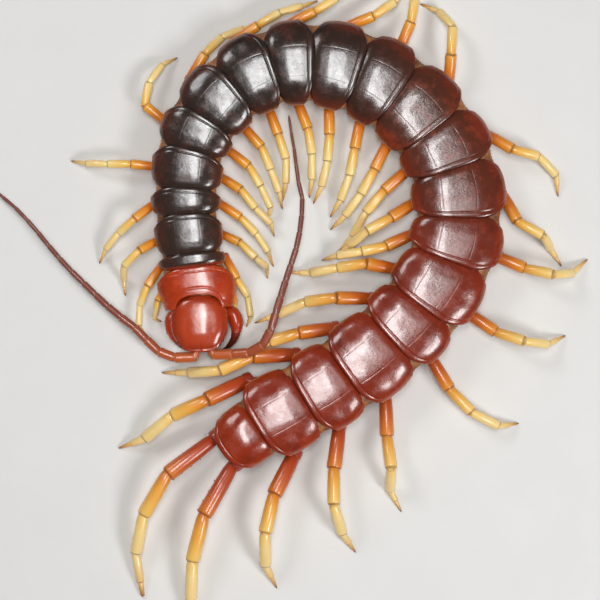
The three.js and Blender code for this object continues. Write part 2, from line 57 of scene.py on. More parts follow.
# %% Lengths and headings of the segments
MM = 0.001
HEAD_FRONT = np.array([-21.9, -14.1])
HEAD_HEADING = 92.0
HEAD_LENGTH = 12.4
LENGTHS = np.array([
    10.0, 3.7, 10.5, 6.9, 10.2, 9.3, 11.4, 11.6, 10.7, 12.4, 11.9,
    13.2, 11.7, 13.0, 11.8, 14.2, 11.9, 15.0, 12.8, 14.5, 11.4,
])
HEADINGS = np.array([
    99, 97, 97, 91, 83, 66, 48, 27, 6, -12, -29,
    -45, -63, -83, -102, -121, -134, -142, -148, -150, -143,
], float)
SEGMENTS = len(LENGTHS)
STARTS = np.concatenate([[0], np.cumsum(LENGTHS)])
print("body length with the head:", round(STARTS[-1] + HEAD_LENGTH, 1), "mm")

# %% [markdown]
# Where two segments meet, the curve has the heading halfway between theirs. Straight pieces between these
# places would show a kink at every joint. A Hermite curve through them is smooth, and it passes exactly where
# the solids do. `midline` gives the place and the heading at any distance from the rear corners of the head,
# so that a plate can reach a little under its neighbour.

# %% The curve
def towards(heading):
    """A step of one millimetre in a heading."""
    turn = np.radians(heading)
    return np.stack([np.cos(turn), np.sin(turn)], axis=-1)


joints = [HEAD_FRONT + towards(HEAD_HEADING) * HEAD_LENGTH]
for length, heading in zip(LENGTHS, HEADINGS):
    joints.append(joints[-1] + towards(heading) * length)
JOINTS = np.array(joints)
JOINT_HEADINGS = np.concatenate([[HEAD_HEADING], (HEADINGS[:-1] + HEADINGS[1:]) / 2, HEADINGS[-1:]])


def midline(distance):
    """Place and heading of the midline, this many millimetres behind the head's rear corners."""
    distance = np.asarray(distance, float)
    i = np.clip(np.searchsorted(STARTS, distance, side="right") - 1, 0, SEGMENTS - 1)
    raw = (distance - STARTS[i]) / LENGTHS[i]
    t = np.clip(raw, 0, 1)[..., None]
    length = LENGTHS[i][..., None]
    place = (
        JOINTS[i] * (2 * t**3 - 3 * t**2 + 1)
        + JOINTS[i + 1] * (3 * t**2 - 2 * t**3)
        + towards(JOINT_HEADINGS[i]) * length * (t**3 - 2 * t**2 + t)
        + towards(JOINT_HEADINGS[i + 1]) * length * (t**3 - t**2)
    )
    heading = JOINT_HEADINGS[i] + (JOINT_HEADINGS[i + 1] - JOINT_HEADINGS[i]) * t[..., 0]
    beyond = ((raw - t[..., 0]) * LENGTHS[i])[..., None]
    return place + towards(heading) * beyond, heading


def beside(place, heading, left, height, back=0.0):
    """Points to the animal's left of a place on the midline, and further back by some millimetres."""
    flat = place + towards(heading - 90) * np.asarray(left)[..., None]
    flat = flat + towards(heading) * np.asarray(back)[..., None]
    height = np.broadcast_to(height, flat.shape[:-1])
    return np.concatenate([flat, height[..., None]], axis=-1)


print("tail end at", midline(STARTS[-1])[0].round(1))

# %% [markdown]
# ## Widths and heights
# The plates grow from a narrow neck to the fourteenth segment and shrink a little towards the tail. Two
# curves say this with three widths, where a list of widths would hide the rule. Only the first and the last
# plate have a width of their own.

# %% Plate sizes
WIDEST_SEGMENT = 14
FIRST_WIDTH, LAST_WIDTH = 20.4, 16.4
NECK_WIDTH, WIDEST_WIDTH, TAIL_WIDTH = 17.8, 25.2, 22.6
BACK_HEIGHT = 12.2
HEAD_HEIGHT = 10.6
BELLY_HEIGHT = 1.7
COXA_HEIGHT = 3.6


def ease(t):
    """A soft step from 0 at 0 to 1 at 1."""
    return 0.5 - 0.5 * np.cos(np.pi * np.clip(t, 0, 1))


def plate_width(segment):
    """Full width of a back plate, counted from 1 behind the head."""
    if segment == 1:
        return FIRST_WIDTH
    if segment == SEGMENTS:
        return LAST_WIDTH
    if segment <= WIDEST_SEGMENT:
        along = (segment - 2) / (WIDEST_SEGMENT - 2)
        return NECK_WIDTH + (WIDEST_WIDTH - NECK_WIDTH) * float(ease(along * 0.5 + 0.5 * along**0.9))
    return WIDEST_WIDTH + (TAIL_WIDTH - WIDEST_WIDTH) * ((segment - WIDEST_SEGMENT) / 6) ** 1.6


def back_height(segment):
    """Height of the back above the floor, lower at the neck and at the tail."""
    rise = min(float(ease((segment - 1) / 7)), float(ease((SEGMENTS - segment) / 4)))
    return HEAD_HEIGHT + (BACK_HEIGHT - HEAD_HEIGHT) * rise


print("plate widths:", [round(plate_width(k), 1) for k in range(1, SEGMENTS + 1)])

# %% [markdown]
# ## From grids to meshes
# Every form here is a grid of points, with rows along the form and columns across or around it. `form` gives
# a grid its faces and closes its ends if it is a tube. `piece` joins such forms to one object, stores extra
# numbers on its points for the materials to read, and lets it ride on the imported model. The same shapes could
# be bent with modifiers, but grids are quick to compute with arrays and leave no stray faces.

# %% Mesh helpers
def grid_faces(rows, columns, around):
    """Quads between neighbouring points of a grid, closed round its columns for a tube."""
    r, c = np.meshgrid(np.arange(rows - 1), np.arange(columns if around else columns - 1), indexing="ij")
    after = (c + 1) % columns
    here, beyond = r * columns, (r + 1) * columns
    quads = np.stack([here + c, here + after, beyond + after, beyond + c], -1)
    return quads.reshape(-1, 4)


def form(points, around=False, **marks):
    """A grid of points as loose mesh data: points, faces and the numbers stored on the points."""
    rows, columns = points.shape[:2]
    faces = [tuple(quad) for quad in grid_faces(rows, columns, around).tolist()]
    flat = points.reshape(-1, 3)
    marks = {name: np.broadcast_to(value, (rows, columns)).reshape(-1) for name, value in marks.items()}
    if around:
        first, last = len(flat), len(flat) + 1
        ends = np.stack([points[0].mean(axis=0), points[-1].mean(axis=0)])
        flat = np.concatenate([flat, ends])
        marks = {
            name: np.concatenate([value, [value[:columns].mean(), value[-columns:].mean()]])
            for name, value in marks.items()
        }
        for c in range(columns):
            after = (c + 1) % columns
            faces.append((first, after, c))
            faces.append((last, (rows - 1) * columns + c, (rows - 1) * columns + after))
    return flat, faces, marks


def piece(name, forms, material, nodes=(), thickness=0.0):
    """One object from several forms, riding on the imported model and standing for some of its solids."""
    points, faces, marks, count = [], [], {}, 0
    for flat, quads, numbers in forms:
        points.append(flat)
        faces += [tuple(i + count for i in face) for face in quads]
        for mark, value in numbers.items():
            marks.setdefault(mark, []).append(value)
        count += len(flat)
    mesh = bpy.data.meshes.new(name)
    mesh.from_pydata((np.concatenate(points) * MM).tolist(), [], faces)
    for mark, values in marks.items():
        attribute = mesh.attributes.new(mark, "FLOAT", "POINT")
        attribute.data.foreach_set("value", np.concatenate(values).astype(np.float32))
    mesh.materials.append(material)
    mesh.shade_smooth()
    mesh.update()
    made = bpy.data.objects.new(name, mesh)
    bpy.context.scene.collection.objects.link(made)
    if thickness:
        shell = made.modifiers.new("shell", "SOLIDIFY")
        shell.thickness = thickness * MM
        shell.offset = -1
    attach(made, "root")
    if nodes:
        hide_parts(*nodes)


def unit(vector):
    """The direction of a vector."""
    return vector / np.linalg.norm(vector)


def spread(density, low, high, count):
    """Numbers from low to high that lie closer together where the density is high."""
    fine = np.linspace(low, high, 4001)
    total = np.concatenate([[0], np.cumsum(density((fine[1:] + fine[:-1]) / 2))])
    return np.interp(np.linspace(0, total[-1], count), total, fine)


def bump_at(x, centre, width):
    """A soft ridge of height 1 at a centre."""
    return np.exp(-(((x - centre) / width) ** 2))


print("faces of a tube of 3 rings of 4 points:", len(form(np.zeros((3, 4, 3)), around=True)[1]))


# %% [markdown]
# ## Shader maths
# A finish could be wired node by node, but it is easier to read as sums, like any other Python. `Wire` holds
# one output socket of a material, and each operator on it adds the Math node that does the sum. `Finish`
# holds a material, and its `node` method adds any other node from its type, its settings and its sockets. The
# methods after it are short names for the nodes that are used most. Numbers that don't vary stay numbers.

# %% A value in a material
class Wire:
    """An output socket that can be added, multiplied and so on."""

    def __init__(self, finish, socket):
        self.finish, self.socket = finish, socket

    def _sum(self, operation, first, second):
        return self.finish.node("ShaderNodeMath", {"operation": operation}, {0: first, 1: second})

    def __add__(self, other):
        return self._sum("ADD", self, other)

    def __mul__(self, other):
        return self._sum("MULTIPLY", self, other)

    def __sub__(self, other):
        return self._sum("SUBTRACT", self, other)

    def __rsub__(self, other):
        return self._sum("SUBTRACT", other, self)

    __radd__ = __add__
    __rmul__ = __mul__


print("a wire can be added, subtracted and multiplied")


# %% A material and its nodes
# How deep light goes into the soft parts, in metres.
GLOW_DEPTH = 0.0012


class Finish:
    """A node material. Its node method adds a node and gives the wire of one of its outputs."""

    def __init__(self, name):
        self.material = bpy.data.materials.new(name)
        self.material.use_nodes = True
        self.material.node_tree.nodes.clear()

    def node(self, kind, settings=None, sockets=None, output=0):
        """Adds a node. A colour ramp finds its stops in the settings."""
        made = self.material.node_tree.nodes.new(kind)
        for name, value in (settings or {}).items():
            if name == "stops":
                ramp = made.color_ramp
                while len(ramp.elements) < len(value):
                    ramp.elements.new(0.5)
                for element, (at, colour) in zip(ramp.elements, value):
                    element.position, element.color = at, (*colour, 1)
            else:
                setattr(made, name, value)
        for name, value in (sockets or {}).items():
            if isinstance(value, Wire):
                self.material.node_tree.links.new(value.socket, made.inputs[name])
            else:
                made.inputs[name].default_value = value
        return Wire(self, made.outputs[output]) if made.outputs else None

    def mark(self, name):
        """A number that is stored on the points of the piece."""
        return self.node("ShaderNodeAttribute", {"attribute_name": name}, output=2)

    def blend(self, first, second, share):
        """A mix of two colours. Each is a wire or three numbers."""
        first, second = (c if isinstance(c, Wire) else (*c, 1) for c in (first, second))
        settings = {"data_type": "RGBA", "clamp_factor": True}
        return self.node("ShaderNodeMix", settings, {0: share, 6: first, 7: second}, output=2)

    def ramp(self, value, stops):
        """A colour read from (place, colour) stops."""
        return self.node("ShaderNodeValToRGB", {"stops": stops}, {"Fac": value})

    def band(self, value, low, high):
        """0 below low, 1 above high and a straight line between them."""
        sockets = {0: value, 1: low, 2: high, 3: 0.0, 4: 1.0}
        return self.node("ShaderNodeMapRange", {"clamp": True}, sockets)

    def noise(self, scale, detail, roughness):
        """Cloudy noise in the object's own space, with so many waves to the metre."""
        sockets = {"Vector": self.node("ShaderNodeTexCoord", output=3)}
        sockets |= {"Scale": scale, "Detail": detail, "Roughness": roughness}
        return self.node("ShaderNodeTexNoise", {}, sockets)

    def bump(self, height, distance, strength, under=None):
        """A normal that is bent by a height, over another bent normal if there is one."""
        sockets = {"Height": height, "Distance": distance, "Strength": strength}
        if under:
            sockets["Normal"] = under
        return self.node("ShaderNodeBump", {}, sockets)

    def shell(self, colour, roughness, normal=None, coat=0.0, coat_roughness=0.1, sheen=0.0, glow=0.0):
        """Finishes the material with one Principled shader."""
        sockets = {"Base Color": colour if isinstance(colour, Wire) else (*colour, 1)}
        sockets |= {"Roughness": roughness, "Coat Weight": coat, "Coat Roughness": coat_roughness}
        sockets |= {"Sheen Weight": sheen, "Subsurface Weight": glow, "Subsurface Scale": GLOW_DEPTH}
        if normal:
            sockets["Normal"] = normal
        surface = self.node("ShaderNodeBsdfPrincipled", {}, sockets)
        self.node("ShaderNodeOutputMaterial", {}, {"Surface": surface})
        return self.material


print("shader tools ready")

# %% [markdown]
# ## Finish of the back plates
# A back plate is a hard, smooth cuticle with a waxy gloss. Its colour changes along the body: orange-red
# behind the head, then almost black, then brick red towards the tail, with redder sides and a pale rim. It
# could be painted on an image, but colour ramps stay sharp at every distance. They read three numbers that
# are stored on the plates: how far down the body a point lies, how far it is from the outer edge, and how far
# from the rear edge. Noise adds the mottling, the fine wrinkles and a gloss that isn't quite even.

# %% Plate material
PALE_RIM = (0.55, 0.20, 0.10)
MIDDLE_COLOURS = [
    (0.00, (0.46, 0.044, 0.007)), (0.09, (0.42, 0.038, 0.006)), (0.091, (0.036, 0.020, 0.014)),
    (0.33, (0.024, 0.014, 0.010)), (0.43, (0.038, 0.017, 0.011)), (0.52, (0.085, 0.021, 0.010)),
    (0.62, (0.120, 0.021, 0.009)), (0.69, (0.190, 0.020, 0.006)), (0.94, (0.230, 0.020, 0.004)),
    (1.00, (0.290, 0.026, 0.004)),
]
SIDE_COLOURS = [
    (0.00, (0.45, 0.048, 0.008)), (0.09, (0.41, 0.042, 0.007)), (0.091, (0.080, 0.024, 0.013)),
    (0.35, (0.105, 0.022, 0.010)), (0.47, (0.155, 0.024, 0.009)), (0.62, (0.230, 0.026, 0.007)),
    (0.80, (0.290, 0.028, 0.005)), (1.00, (0.330, 0.034, 0.005)),
]


def plate_finish(name, mottle):
    f = Finish(name)
    body, edge, rear = f.mark("body"), f.mark("edge"), f.mark("rear")
    cloud = f.noise(120, 5.0, 0.62)
    blotch = f.noise(330, 5.0, 0.65)
    fine = f.noise(1000, 4.0, 0.65)
    middle, sides = f.ramp(body, MIDDLE_COLOURS), f.ramp(body, SIDE_COLOURS)
    colour = f.blend(sides, middle, f.band(edge + (cloud - 0.5) * 9.0, 1.6, 5.5))
    colour = f.blend(colour, mottle, f.band(blotch, 0.50, 0.72) * 0.45)
    colour = f.blend(colour, (0.012, 0.005, 0.003), f.band(cloud, 0.52, 0.70) * 0.35)
    # Painted shade: the last 0.4 mm before the rear edge, where the plate rolls over the gap to the next plate,
    # is painted near-black for the shade in that gap.
    colour = f.blend(colour, (0.010, 0.004, 0.003), (1 - f.band(rear, 0.0, 0.40)) * 0.85)
    rim = f.band(edge, 0.60, 0.75) * (1 - f.band(edge, 1.25, 1.55))
    colour = f.blend(colour, PALE_RIM, rim * 0.7)
    rough = 0.13 + f.band(blotch, 0.36, 0.72) * 0.17 + fine * 0.08
    normal = f.bump(blotch, 0.00012, 0.35)
    normal = f.bump(fine, 0.00007, 0.6, normal)
    return f.shell(colour, rough, normal, coat=0.35, coat_roughness=0.08)


FRONT_SHELL = plate_finish("front_plate_cuticle", (0.60, 0.075, 0.010))
DARK_SHELL = plate_finish("dark_plate_cuticle", (0.110, 0.020, 0.010))
RED_SHELL = plate_finish("red_plate_cuticle", (0.340, 0.038, 0.007))


FIRST_RED = 12


def plate_slot(segment):
    """The name and the material of the slot that the plates of a segment share."""
    if segment == 1:
        return "front_shell", FRONT_SHELL
    return ("dark_shell", DARK_SHELL) if segment < FIRST_RED else ("red_shell", RED_SHELL)


print("plate cuticle ready")

# %% [markdown]
# ## The back plates
# Each plate is a thin shell, flat along the middle and steep at the sides, with a rolled rim. Its front is
# tucked under the plate before it, and its rear edge stands proud. It could be a bent box with bevels, but a
# drawn profile puts the points where they are needed. Half of it is drawn, from the middle of the back to the
# edge, and is sampled more closely at the sutures and at the rim. The other half is its mirror image.

# %% Half profile of a plate
EDGE_DROP = 3.7
ROLLED_RIM = {"share": [0.994, 0.975, 0.94], "drop": [3.95, 4.15, 4.3]}
SUTURE = 0.36
PROFILE_STEPS = 600


def half_profile(half, count):
    """Columns from the middle to the edge: share of the half width, drop, normal, way to the edge."""
    share = 1 - np.linspace(1, 0, PROFILE_STEPS) ** 2
    drop = EDGE_DROP * (1 - (1 - share**3) ** 0.625)
    share = np.append(share, ROLLED_RIM["share"])
    drop = np.append(drop, ROLLED_RIM["drop"])
    arc = np.concatenate([[0], np.cumsum(np.hypot(np.diff(share * half), np.diff(drop)))])
    suture = np.interp(SUTURE, share[:PROFILE_STEPS], arc[:PROFILE_STEPS])
    end = arc[-1]
    density = lambda a: 1 + 5 * bump_at(a, suture, 0.35) + 2.5 * bump_at(a, end - 1.2, 0.9)
    at = spread(density, 0, end, count)
    share, drop = np.interp(at, arc, share), np.interp(at, arc, drop)
    slope = np.stack([np.gradient(share * half, at), -np.gradient(drop, at)])
    slope /= np.hypot(*slope)
    return share, drop, -slope[1], slope[0], end - at


def both_sides(values, sign=1):
    """Mirrors a half profile: right edge to left edge, which is the order of the columns."""
    return np.concatenate([sign * values[:0:-1], values])


print("profile ends", half_profile(10, 5)[1].round(2), "mm down")

# %% [markdown]
# The outline of a plate is barrel-shaped: widest behind its middle, with rounded corners. The relief is a sum
# of soft ridges and grooves, each with a size in millimetres: a raised rim with a furrow inside it, two fine
# sutures beside the middle, a shallow dent on each side, and a thin groove just before the swollen rear band.
# A bump in the material could show these too, but real relief also bends the bright reflections. The first
# plate has a hollow front that takes the head, with a collar round it.

# %% Outline and relief
TUCK = 1.3
OVERHANG = 0.35
PLATE_THICKNESS = 0.35
PLATE_TURN = 0.78
SUTURED = [3, *range(5, SEGMENTS)]
HEAD_HALF = 7.6
HEAD_WIDEST = 0.36
HEAD_ROUND = 0.585
ROUND_POWER = 2.6


def head_arc(across):
    """How far the round rear edge of the head reaches behind its corners, at a distance from the middle."""
    share = np.clip(np.abs(across) / HEAD_HALF, 0, 1)
    return HEAD_LENGTH * (HEAD_ROUND * (1 - share**ROUND_POWER) ** (1 / ROUND_POWER) - HEAD_WIDEST)


def follow(stops, t):
    """A value read from (place, value) stops, on a straight line between them."""
    places, values = np.array(stops, float).T
    i = np.clip(np.searchsorted(places, t, side="right") - 1, 0, len(places) - 2)
    share = np.clip((t - places[i]) / (places[i + 1] - places[i]), 0, 1)
    return values[i] + (values[i + 1] - values[i]) * share


def smooth_follow(stops, t, reach=0.08):
    """The same value, averaged over a short reach, so that it has no corners."""
    return sum(follow(stops, t + step * reach) for step in (-1, -0.5, 0, 0.5, 1)) / 5


# Width as a share of the full width, and drop of the back in millimetres, from front (0) to rear (1).
PLATE_SWELL = [
    (-0.2, 0.78), (0.0, 0.86), (0.12, 0.93), (0.36, 0.99), (0.66, 1.0), (0.86, 0.965), (1.05, 0.89),
]
PLATE_DROP = [
    (-0.2, 1.25), (-0.04, 1.0), (0.10, 0.35), (0.34, 0.05), (0.68, 0.0), (0.9, 0.05), (1.05, 0.25),
]
FIRST_SWELL = [(-0.1, 0.86), (0.1, 0.92), (0.45, 1.0), (0.62, 1.0), (0.9, 0.94), (1.1, 0.86)]
FIRST_DROP = [(-0.1, 0.5), (0.3, 0.1), (0.6, 0.0), (0.9, 0.05), (1.05, 0.25)]
LAST_SWELL = [(-0.15, 0.95), (0.1, 1.0), (0.5, 0.99), (0.85, 0.90), (1.1, 0.80)]
LAST_DROP = [(0.5, 0.0), (1.05, 0.9)]


def plate_relief(segment, share, edge, front, rear):
    """Height of the relief along the surface's normal, in millimetres."""
    depth = min(1.0, LENGTHS[segment - 1] / 10)
    rim = 0.13 * bump_at(edge, 0.95, 0.30) - 0.06 * bump_at(edge, 1.60, 0.22)
    band = 0.05 * bump_at(rear, 0.6, 0.4) - 0.10 * bump_at(rear, 1.45, 0.14)
    band = band - 0.22 * np.exp(-np.maximum(rear, 0) / 0.15)
    inside = ease((edge - 1.2) / 1.0)
    relief = rim * ease(front / 1.5) * ease((rear + 0.6) / 1.5) + depth * band * ease((edge + 0.6) / 1.6)
    dent = -0.14 * bump_at(share, 0.66, 0.16) * bump_at(front - rear, 0, np.maximum(front + rear, 2) * 0.32)
    relief = relief + depth * dent * inside
    if segment in SUTURED:
        suture = 0.018 if segment >= 6 else 0.010
        line = bump_at(share, SUTURE, 0.010) * ease((front - 1.0) / 2) * ease((rear - 1.9) / 0.4)
        relief = relief - suture * line
    if segment == 1:
        for at in (0.25, 0.75, 1.25):
            relief = relief + 0.09 * bump_at(front, at, 0.13)
        relief = relief - 0.16 * bump_at(front, 1.75, 0.2)
    return relief


print("the head reaches", round(float(head_arc(0)), 2), "mm into the first plate")


# %% One back plate
def back_plate(segment, rows=44, columns=46):
    """A plate as a grid: rows from its front edge to its rear edge, columns from side to side."""
    start, end, length = STARTS[segment - 1], STARTS[segment], LENGTHS[segment - 1]
    half = plate_width(segment) / 2
    share, drop, out, up, edge = half_profile(half, columns)
    edge, drop, up = both_sides(edge), both_sides(drop), both_sides(up)
    side = both_sides(share, -1)
    out = both_sides(out, -1)
    middle, short = np.abs(side), min(1.0, length / 9)
    if segment == 1:
        front_edge = np.maximum(head_arc(side * half) + 0.08, -0.5 - 0.4 * middle)
    else:
        front_edge = start - TUCK + 3.3 * short * middle**5
    corner = 2.2 if segment == SEGMENTS else 2.9 * short
    rear_edge = end + OVERHANG - corner * middle**5
    if segment == SEGMENTS:
        front_edge = start - TUCK + 1.4 * middle**5
        rear_edge = rear_edge - 1.2 * middle**2
    t = spread(lambda x: 1 + 3 * bump_at(x, 1, 0.18) + 1.5 * bump_at(x, 0, 0.1), 0, 1, rows)[:, None]
    s = front_edge + t * (rear_edge - front_edge)
    along = (s - start) / length
    swells = {1: FIRST_SWELL, SEGMENTS: LAST_SWELL}.get(segment, PLATE_SWELL)
    swell = smooth_follow(swells, along, 0.06)
    lower = smooth_follow(FIRST_DROP if segment == 1 else PLATE_DROP, along, 0.05)
    if segment == SEGMENTS:
        lower = lower + smooth_follow(LAST_DROP, along, 0.05)
    relief = plate_relief(segment, middle, edge, s - front_edge, rear_edge - s)
    across = side * half * swell + out * relief
    height = back_height(segment) - lower - drop + up * relief
    place, heading = midline(s)
    own = HEADINGS[segment - 1]
    points = beside(place, own + PLATE_TURN * (heading - own), across, height)
    body = (s + HEAD_LENGTH) / (STARTS[-1] + HEAD_LENGTH)
    return form(points, body=body, edge=edge, rear=rear_edge - s)


for segment in range(1, SEGMENTS + 1):
    slot_name, material = plate_slot(segment)
    piece(f"tergite_{segment:02d}", [back_plate(segment)], material, thickness=PLATE_THICKNESS)
print("back plates:", SEGMENTS)

# %% [markdown]
# ## Soft skin and belly plates
# Between the hard plates the body is a tube of leathery skin, orange-tan and finely folded, so that the
# animal can bend. It shows as wedges on the outside of the bend and along the flanks. Below, each segment has
# a flat belly plate with two long grooves. The folds could be sculpted by hand, but two waves that run round
# the tube fold it evenly all along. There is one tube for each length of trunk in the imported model.

# %% Skin and belly materials
def skin_finish():
    f = Finish("segment_skin")
    folds = f.noise(700, 5.0, 0.65)
    patches = f.noise(220, 3.0, 0.5)
    colour = f.blend((0.46, 0.17, 0.045), (0.17, 0.055, 0.022), f.band(patches, 0.38, 0.66))
    # Painted shade: where the fold noise is low, which the bump below sinks into creases, the skin is darkened
    # for the shade in those creases.
    colour = f.blend(colour, (0.06, 0.022, 0.012), (1 - f.band(folds, 0.34, 0.52)) * 0.6)
    return f.shell(colour, 0.42 + patches * 0.2, f.bump(folds, 0.00022, 0.8), coat=0.2, glow=0.15)


def belly_finish():
    f = Finish("belly_plate_cuticle")
    cloud = f.noise(140, 4.0, 0.55)
    fine = f.noise(1100, 3.0, 0.6)
    colour = f.blend((0.42, 0.20, 0.075), (0.60, 0.33, 0.13), f.band(cloud, 0.35, 0.65))
    colour = f.blend((0.20, 0.065, 0.025), colour, f.band(f.mark("edge"), 0.0, 0.9))
    return f.shell(colour, 0.3 + fine * 0.15, f.bump(fine, 0.00005, 0.5), coat=0.4)


SKIN, BELLY = skin_finish(), belly_finish()
BELLY_THICKNESS = -0.3
TAIL_CENTRE = 5.6
TRUNKS = [(1, 1)] + [(k, k + 1) for k in range(2, 20, 2)] + [(20, 20), (21, 21)]


def trunk_name(first, last):
    return f"trunk_{first:02d}" if first == last else f"trunk_{first:02d}_{last:02d}"


print("lengths of trunk:", len(TRUNKS))


# %% The skin tube
def by_segment(value, s):
    """A size that changes from segment to segment, read smoothly along the body."""
    centres = STARTS[:-1] + LENGTHS / 2
    return np.interp(s, centres, [value(k) for k in range(1, SEGMENTS + 1)])


def skin_tube(first, last):
    """The skin from one segment to another, a little longer than they are, and closed at the tail."""
    start = STARTS[first - 1] + (2.6 if first == 1 else -0.3)
    end = STARTS[last] + (-1.2 if last == SEGMENTS else 0.3)
    s = np.linspace(start, end, int((end - start) / 0.22))[:, None]
    turn = np.linspace(-np.pi, np.pi, 72, endpoint=False)[None, :]
    half = by_segment(plate_width, s) / 2
    top = by_segment(back_height, s) - 1.35
    low = BELLY_HEIGHT + 0.35
    flat = lambda x, power: np.sign(x) * np.abs(x) ** power
    bulge = 0.84 - 0.04 * np.cos(2 * turn)
    across = half * bulge * flat(np.sin(turn), 0.62)
    high = flat(np.cos(turn), 0.55)
    nearest = np.min(np.abs(s - STARTS[None, :]), axis=1)[:, None]
    pinch = 0.25 * bump_at(nearest, 0, 1.2)
    folds = 0.07 * np.sin(s * 9.5 + 2 * np.sin(turn * 3)) + 0.05 * np.sin(s * 17 + turn * 6)
    across = across * (1 - 0.02 * pinch) + (folds - pinch) * np.sin(turn)
    height = (top + low) / 2 + (top - low) / 2 * high + folds * np.abs(np.cos(turn))
    if last == SEGMENTS:
        close = np.sqrt(np.clip((end - s) / 4.0, 0.02, 1))
        across, height = across * close, TAIL_CENTRE + (height - TAIL_CENTRE) * close
    place, heading = midline(s)
    place = np.broadcast_to(place, (*across.shape, 2))
    heading = np.broadcast_to(heading, across.shape)
    return form(beside(place, heading, across, height), around=True)


def belly_plate(segment, rows=30, columns=41):
    """A belly plate that faces down, so its grooves are raised."""
    start, end = STARTS[segment - 1], STARTS[segment]
    half = plate_width(segment) * 0.25
    side = np.linspace(-1, 1, columns)[None, :]
    t = np.linspace(0, 1, rows)[:, None]
    middle = np.abs(side)
    front_edge, rear_edge = start + 0.55 + 0.9 * middle**6, end - 0.25 - 1.1 * middle**5
    s = front_edge + t * (rear_edge - front_edge)
    grooves = 0.22 * bump_at(middle, 0.42, 0.05) * ease(t * 5) * ease((1 - t) * 5)
    height = BELLY_HEIGHT + 1.0 * middle**5 + 0.35 * (2 * t - 1) ** 6 + grooves
    place, heading = midline(s)
    swell = 1 - 0.10 * (2 * t - 1) ** 2
    points = beside(place, heading, side * half * swell, height)
    edge = np.minimum((1 - middle) * half, np.minimum(s - front_edge, rear_edge - s))
    return form(points[:, ::-1], edge=edge[:, ::-1])


for first, last in TRUNKS:
    node = trunk_name(first, last)
    piece(f"skin_{node}", [skin_tube(first, last)], SKIN, [node])
    for segment in range(first, last + 1):
        name, slot_name = f"sternite_{segment:02d}", plate_slot(segment)[0]
        piece(name, [belly_plate(segment)], BELLY, thickness=BELLY_THICKNESS)
print("belly plates:", SEGMENTS)

# %% [markdown]
# ## Jointed limbs
# A limb is a row of hard tubes, called articles. Each starts in a narrow neck, swells, and ends in a cuff
# that takes the neck of the next one. One function makes such a tube from its two ends, a list of stops for
# its thickness and a small bow. A skin modifier on a line of points could do it too, but it leaves no choice
# of necks and cuffs. Legs, hips, antennae and mouthparts all use this one, so they look alike, as in life.

# %% One article of a limb, and a claw
LIMB_SWELL = [
    (0, 0.74), (0.04, 0.84), (0.13, 0.95), (0.4, 1.0), (0.78, 0.99), (0.92, 0.99), (0.97, 0.97), (1.0, 0.86),
]


def article(start, end, radii, swell=LIMB_SWELL, rows=26, columns=20, bow=0.0, **marks):
    """A tube from start to end. Radii are those of its two ends, and bow lifts its middle."""
    start, end = np.asarray(start, float), np.asarray(end, float)
    way = unit(end - start)
    across = unit(np.cross(way, [0, 0, 1]))
    up = np.cross(across, way)
    ends = [0.0, 0.02, 0.05, 0.10, 0.90, 0.93, 0.96, 0.985, 1.0]
    t = np.unique(np.concatenate([np.linspace(0, 1, rows - 6), ends]))
    turn = -np.linspace(0, 2 * np.pi, columns, endpoint=False)
    radius = (radii[0] + (radii[1] - radii[0]) * t) * smooth_follow(swell, t, 0.015)
    middle = start + (end - start) * t[:, None] + up * (bow * np.sin(np.pi * t))[:, None]
    ring = across * np.cos(turn)[:, None] + up * np.sin(turn)[:, None]
    points = middle[:, None, :] + ring[None] * radius[:, None, None]
    points[..., 2] = np.maximum(points[..., 2], 0.0)
    return form(points, around=True, along=t[:, None], **marks)


def hook(start, way, length, radius, curl, rows=18, columns=14, **marks):
    """A claw: a cone that bends downwards as it goes."""
    way = unit(np.asarray(way, float))
    t = np.linspace(0, 1, rows)
    angle = np.arcsin(way[2]) - curl * t
    level = np.array([way[0], way[1], 0]) / np.hypot(way[0], way[1])
    steps = level * np.cos(angle)[:, None] + np.array([0, 0, 1]) * np.sin(angle)[:, None]
    middle = start + np.concatenate([[np.zeros(3)], np.cumsum(steps[1:] * length / (rows - 1), axis=0)])
    across = np.cross(level, [0, 0, 1])
    up = np.cross(across, steps)
    turn = -np.linspace(0, 2 * np.pi, columns, endpoint=False)
    size = radius * (1 - t**1.4) + 0.02
    ring = across * np.cos(turn)[None, :, None] + up[:, None, :] * np.sin(turn)[None, :, None]
    points = middle[:, None, :] + ring * size[:, None, None]
    points[..., 2] = np.maximum(points[..., 2], 0.0)
    return form(points, around=True, along=t[:, None], **marks)


print("limb tools ready")

# %% [markdown]
# ## The pose of the legs
# The animal stands still, so no rig is needed to pose it. A leg is fixed by four headings, for thigh, femur,
# tibia and foot, and by the heights of its two knees and its ankle. These are the same sizes as in the
# solids. A few legs are shorter than their partners, which their reach says.

# %% Headings, heights, and reach where it is short
LEFT_LEGS = [
    ((-85, -88, -94, -125), (1.1, 0.95, 0.8)), ((-62, -58, -82, -115), (5, 3, 3.4)),
    ((-26, -45, -37, -88), (7.2, 8, 3.4)), ((-34, -46, -57, -71), (4.6, 4, 2.4)),
    ((-33, -52, -44, -77), (6.2, 6, 3.4)), ((-38, -60, -65, -109), (4.6, 5, 3.4)),
    ((-49, -68, -69, -80), (4.6, 4, 2.4)), ((-70, -72, -91, -101), (4.6, 4, 2.4)),
    ((-69, -81, -91, -97), (4.6, 4, 2.4)), ((-89, -95, -103, -116), (4.6, 4, 2.4)),
    ((-101, -101, -111, -121), (4.6, 4, 2.4)), ((-117, -119, -127, -136), (4.6, 4, 2.4)),
    ((-139, -129, -119, -132), (4.6, 4, 1.4)), ((-148, -151, -139, -139), (6.2, 7, 2.4)),
    ((-156, -168, -171, -163), (4.6, 5, 3.2)), ((170, -171, -170, 179), (6.2, 4, 1.4)),
    ((179, -172, -156, -159), (7.2, 4, 1.4)), ((-172, -163, -150, -149), (4.6, 3.6, 1.2)),
    ((-178, -156, -176, -179), (5.7, 6.0, 1.4)), ((-155, -155, -140, -159), (7.2, 5, 2.4)),
]
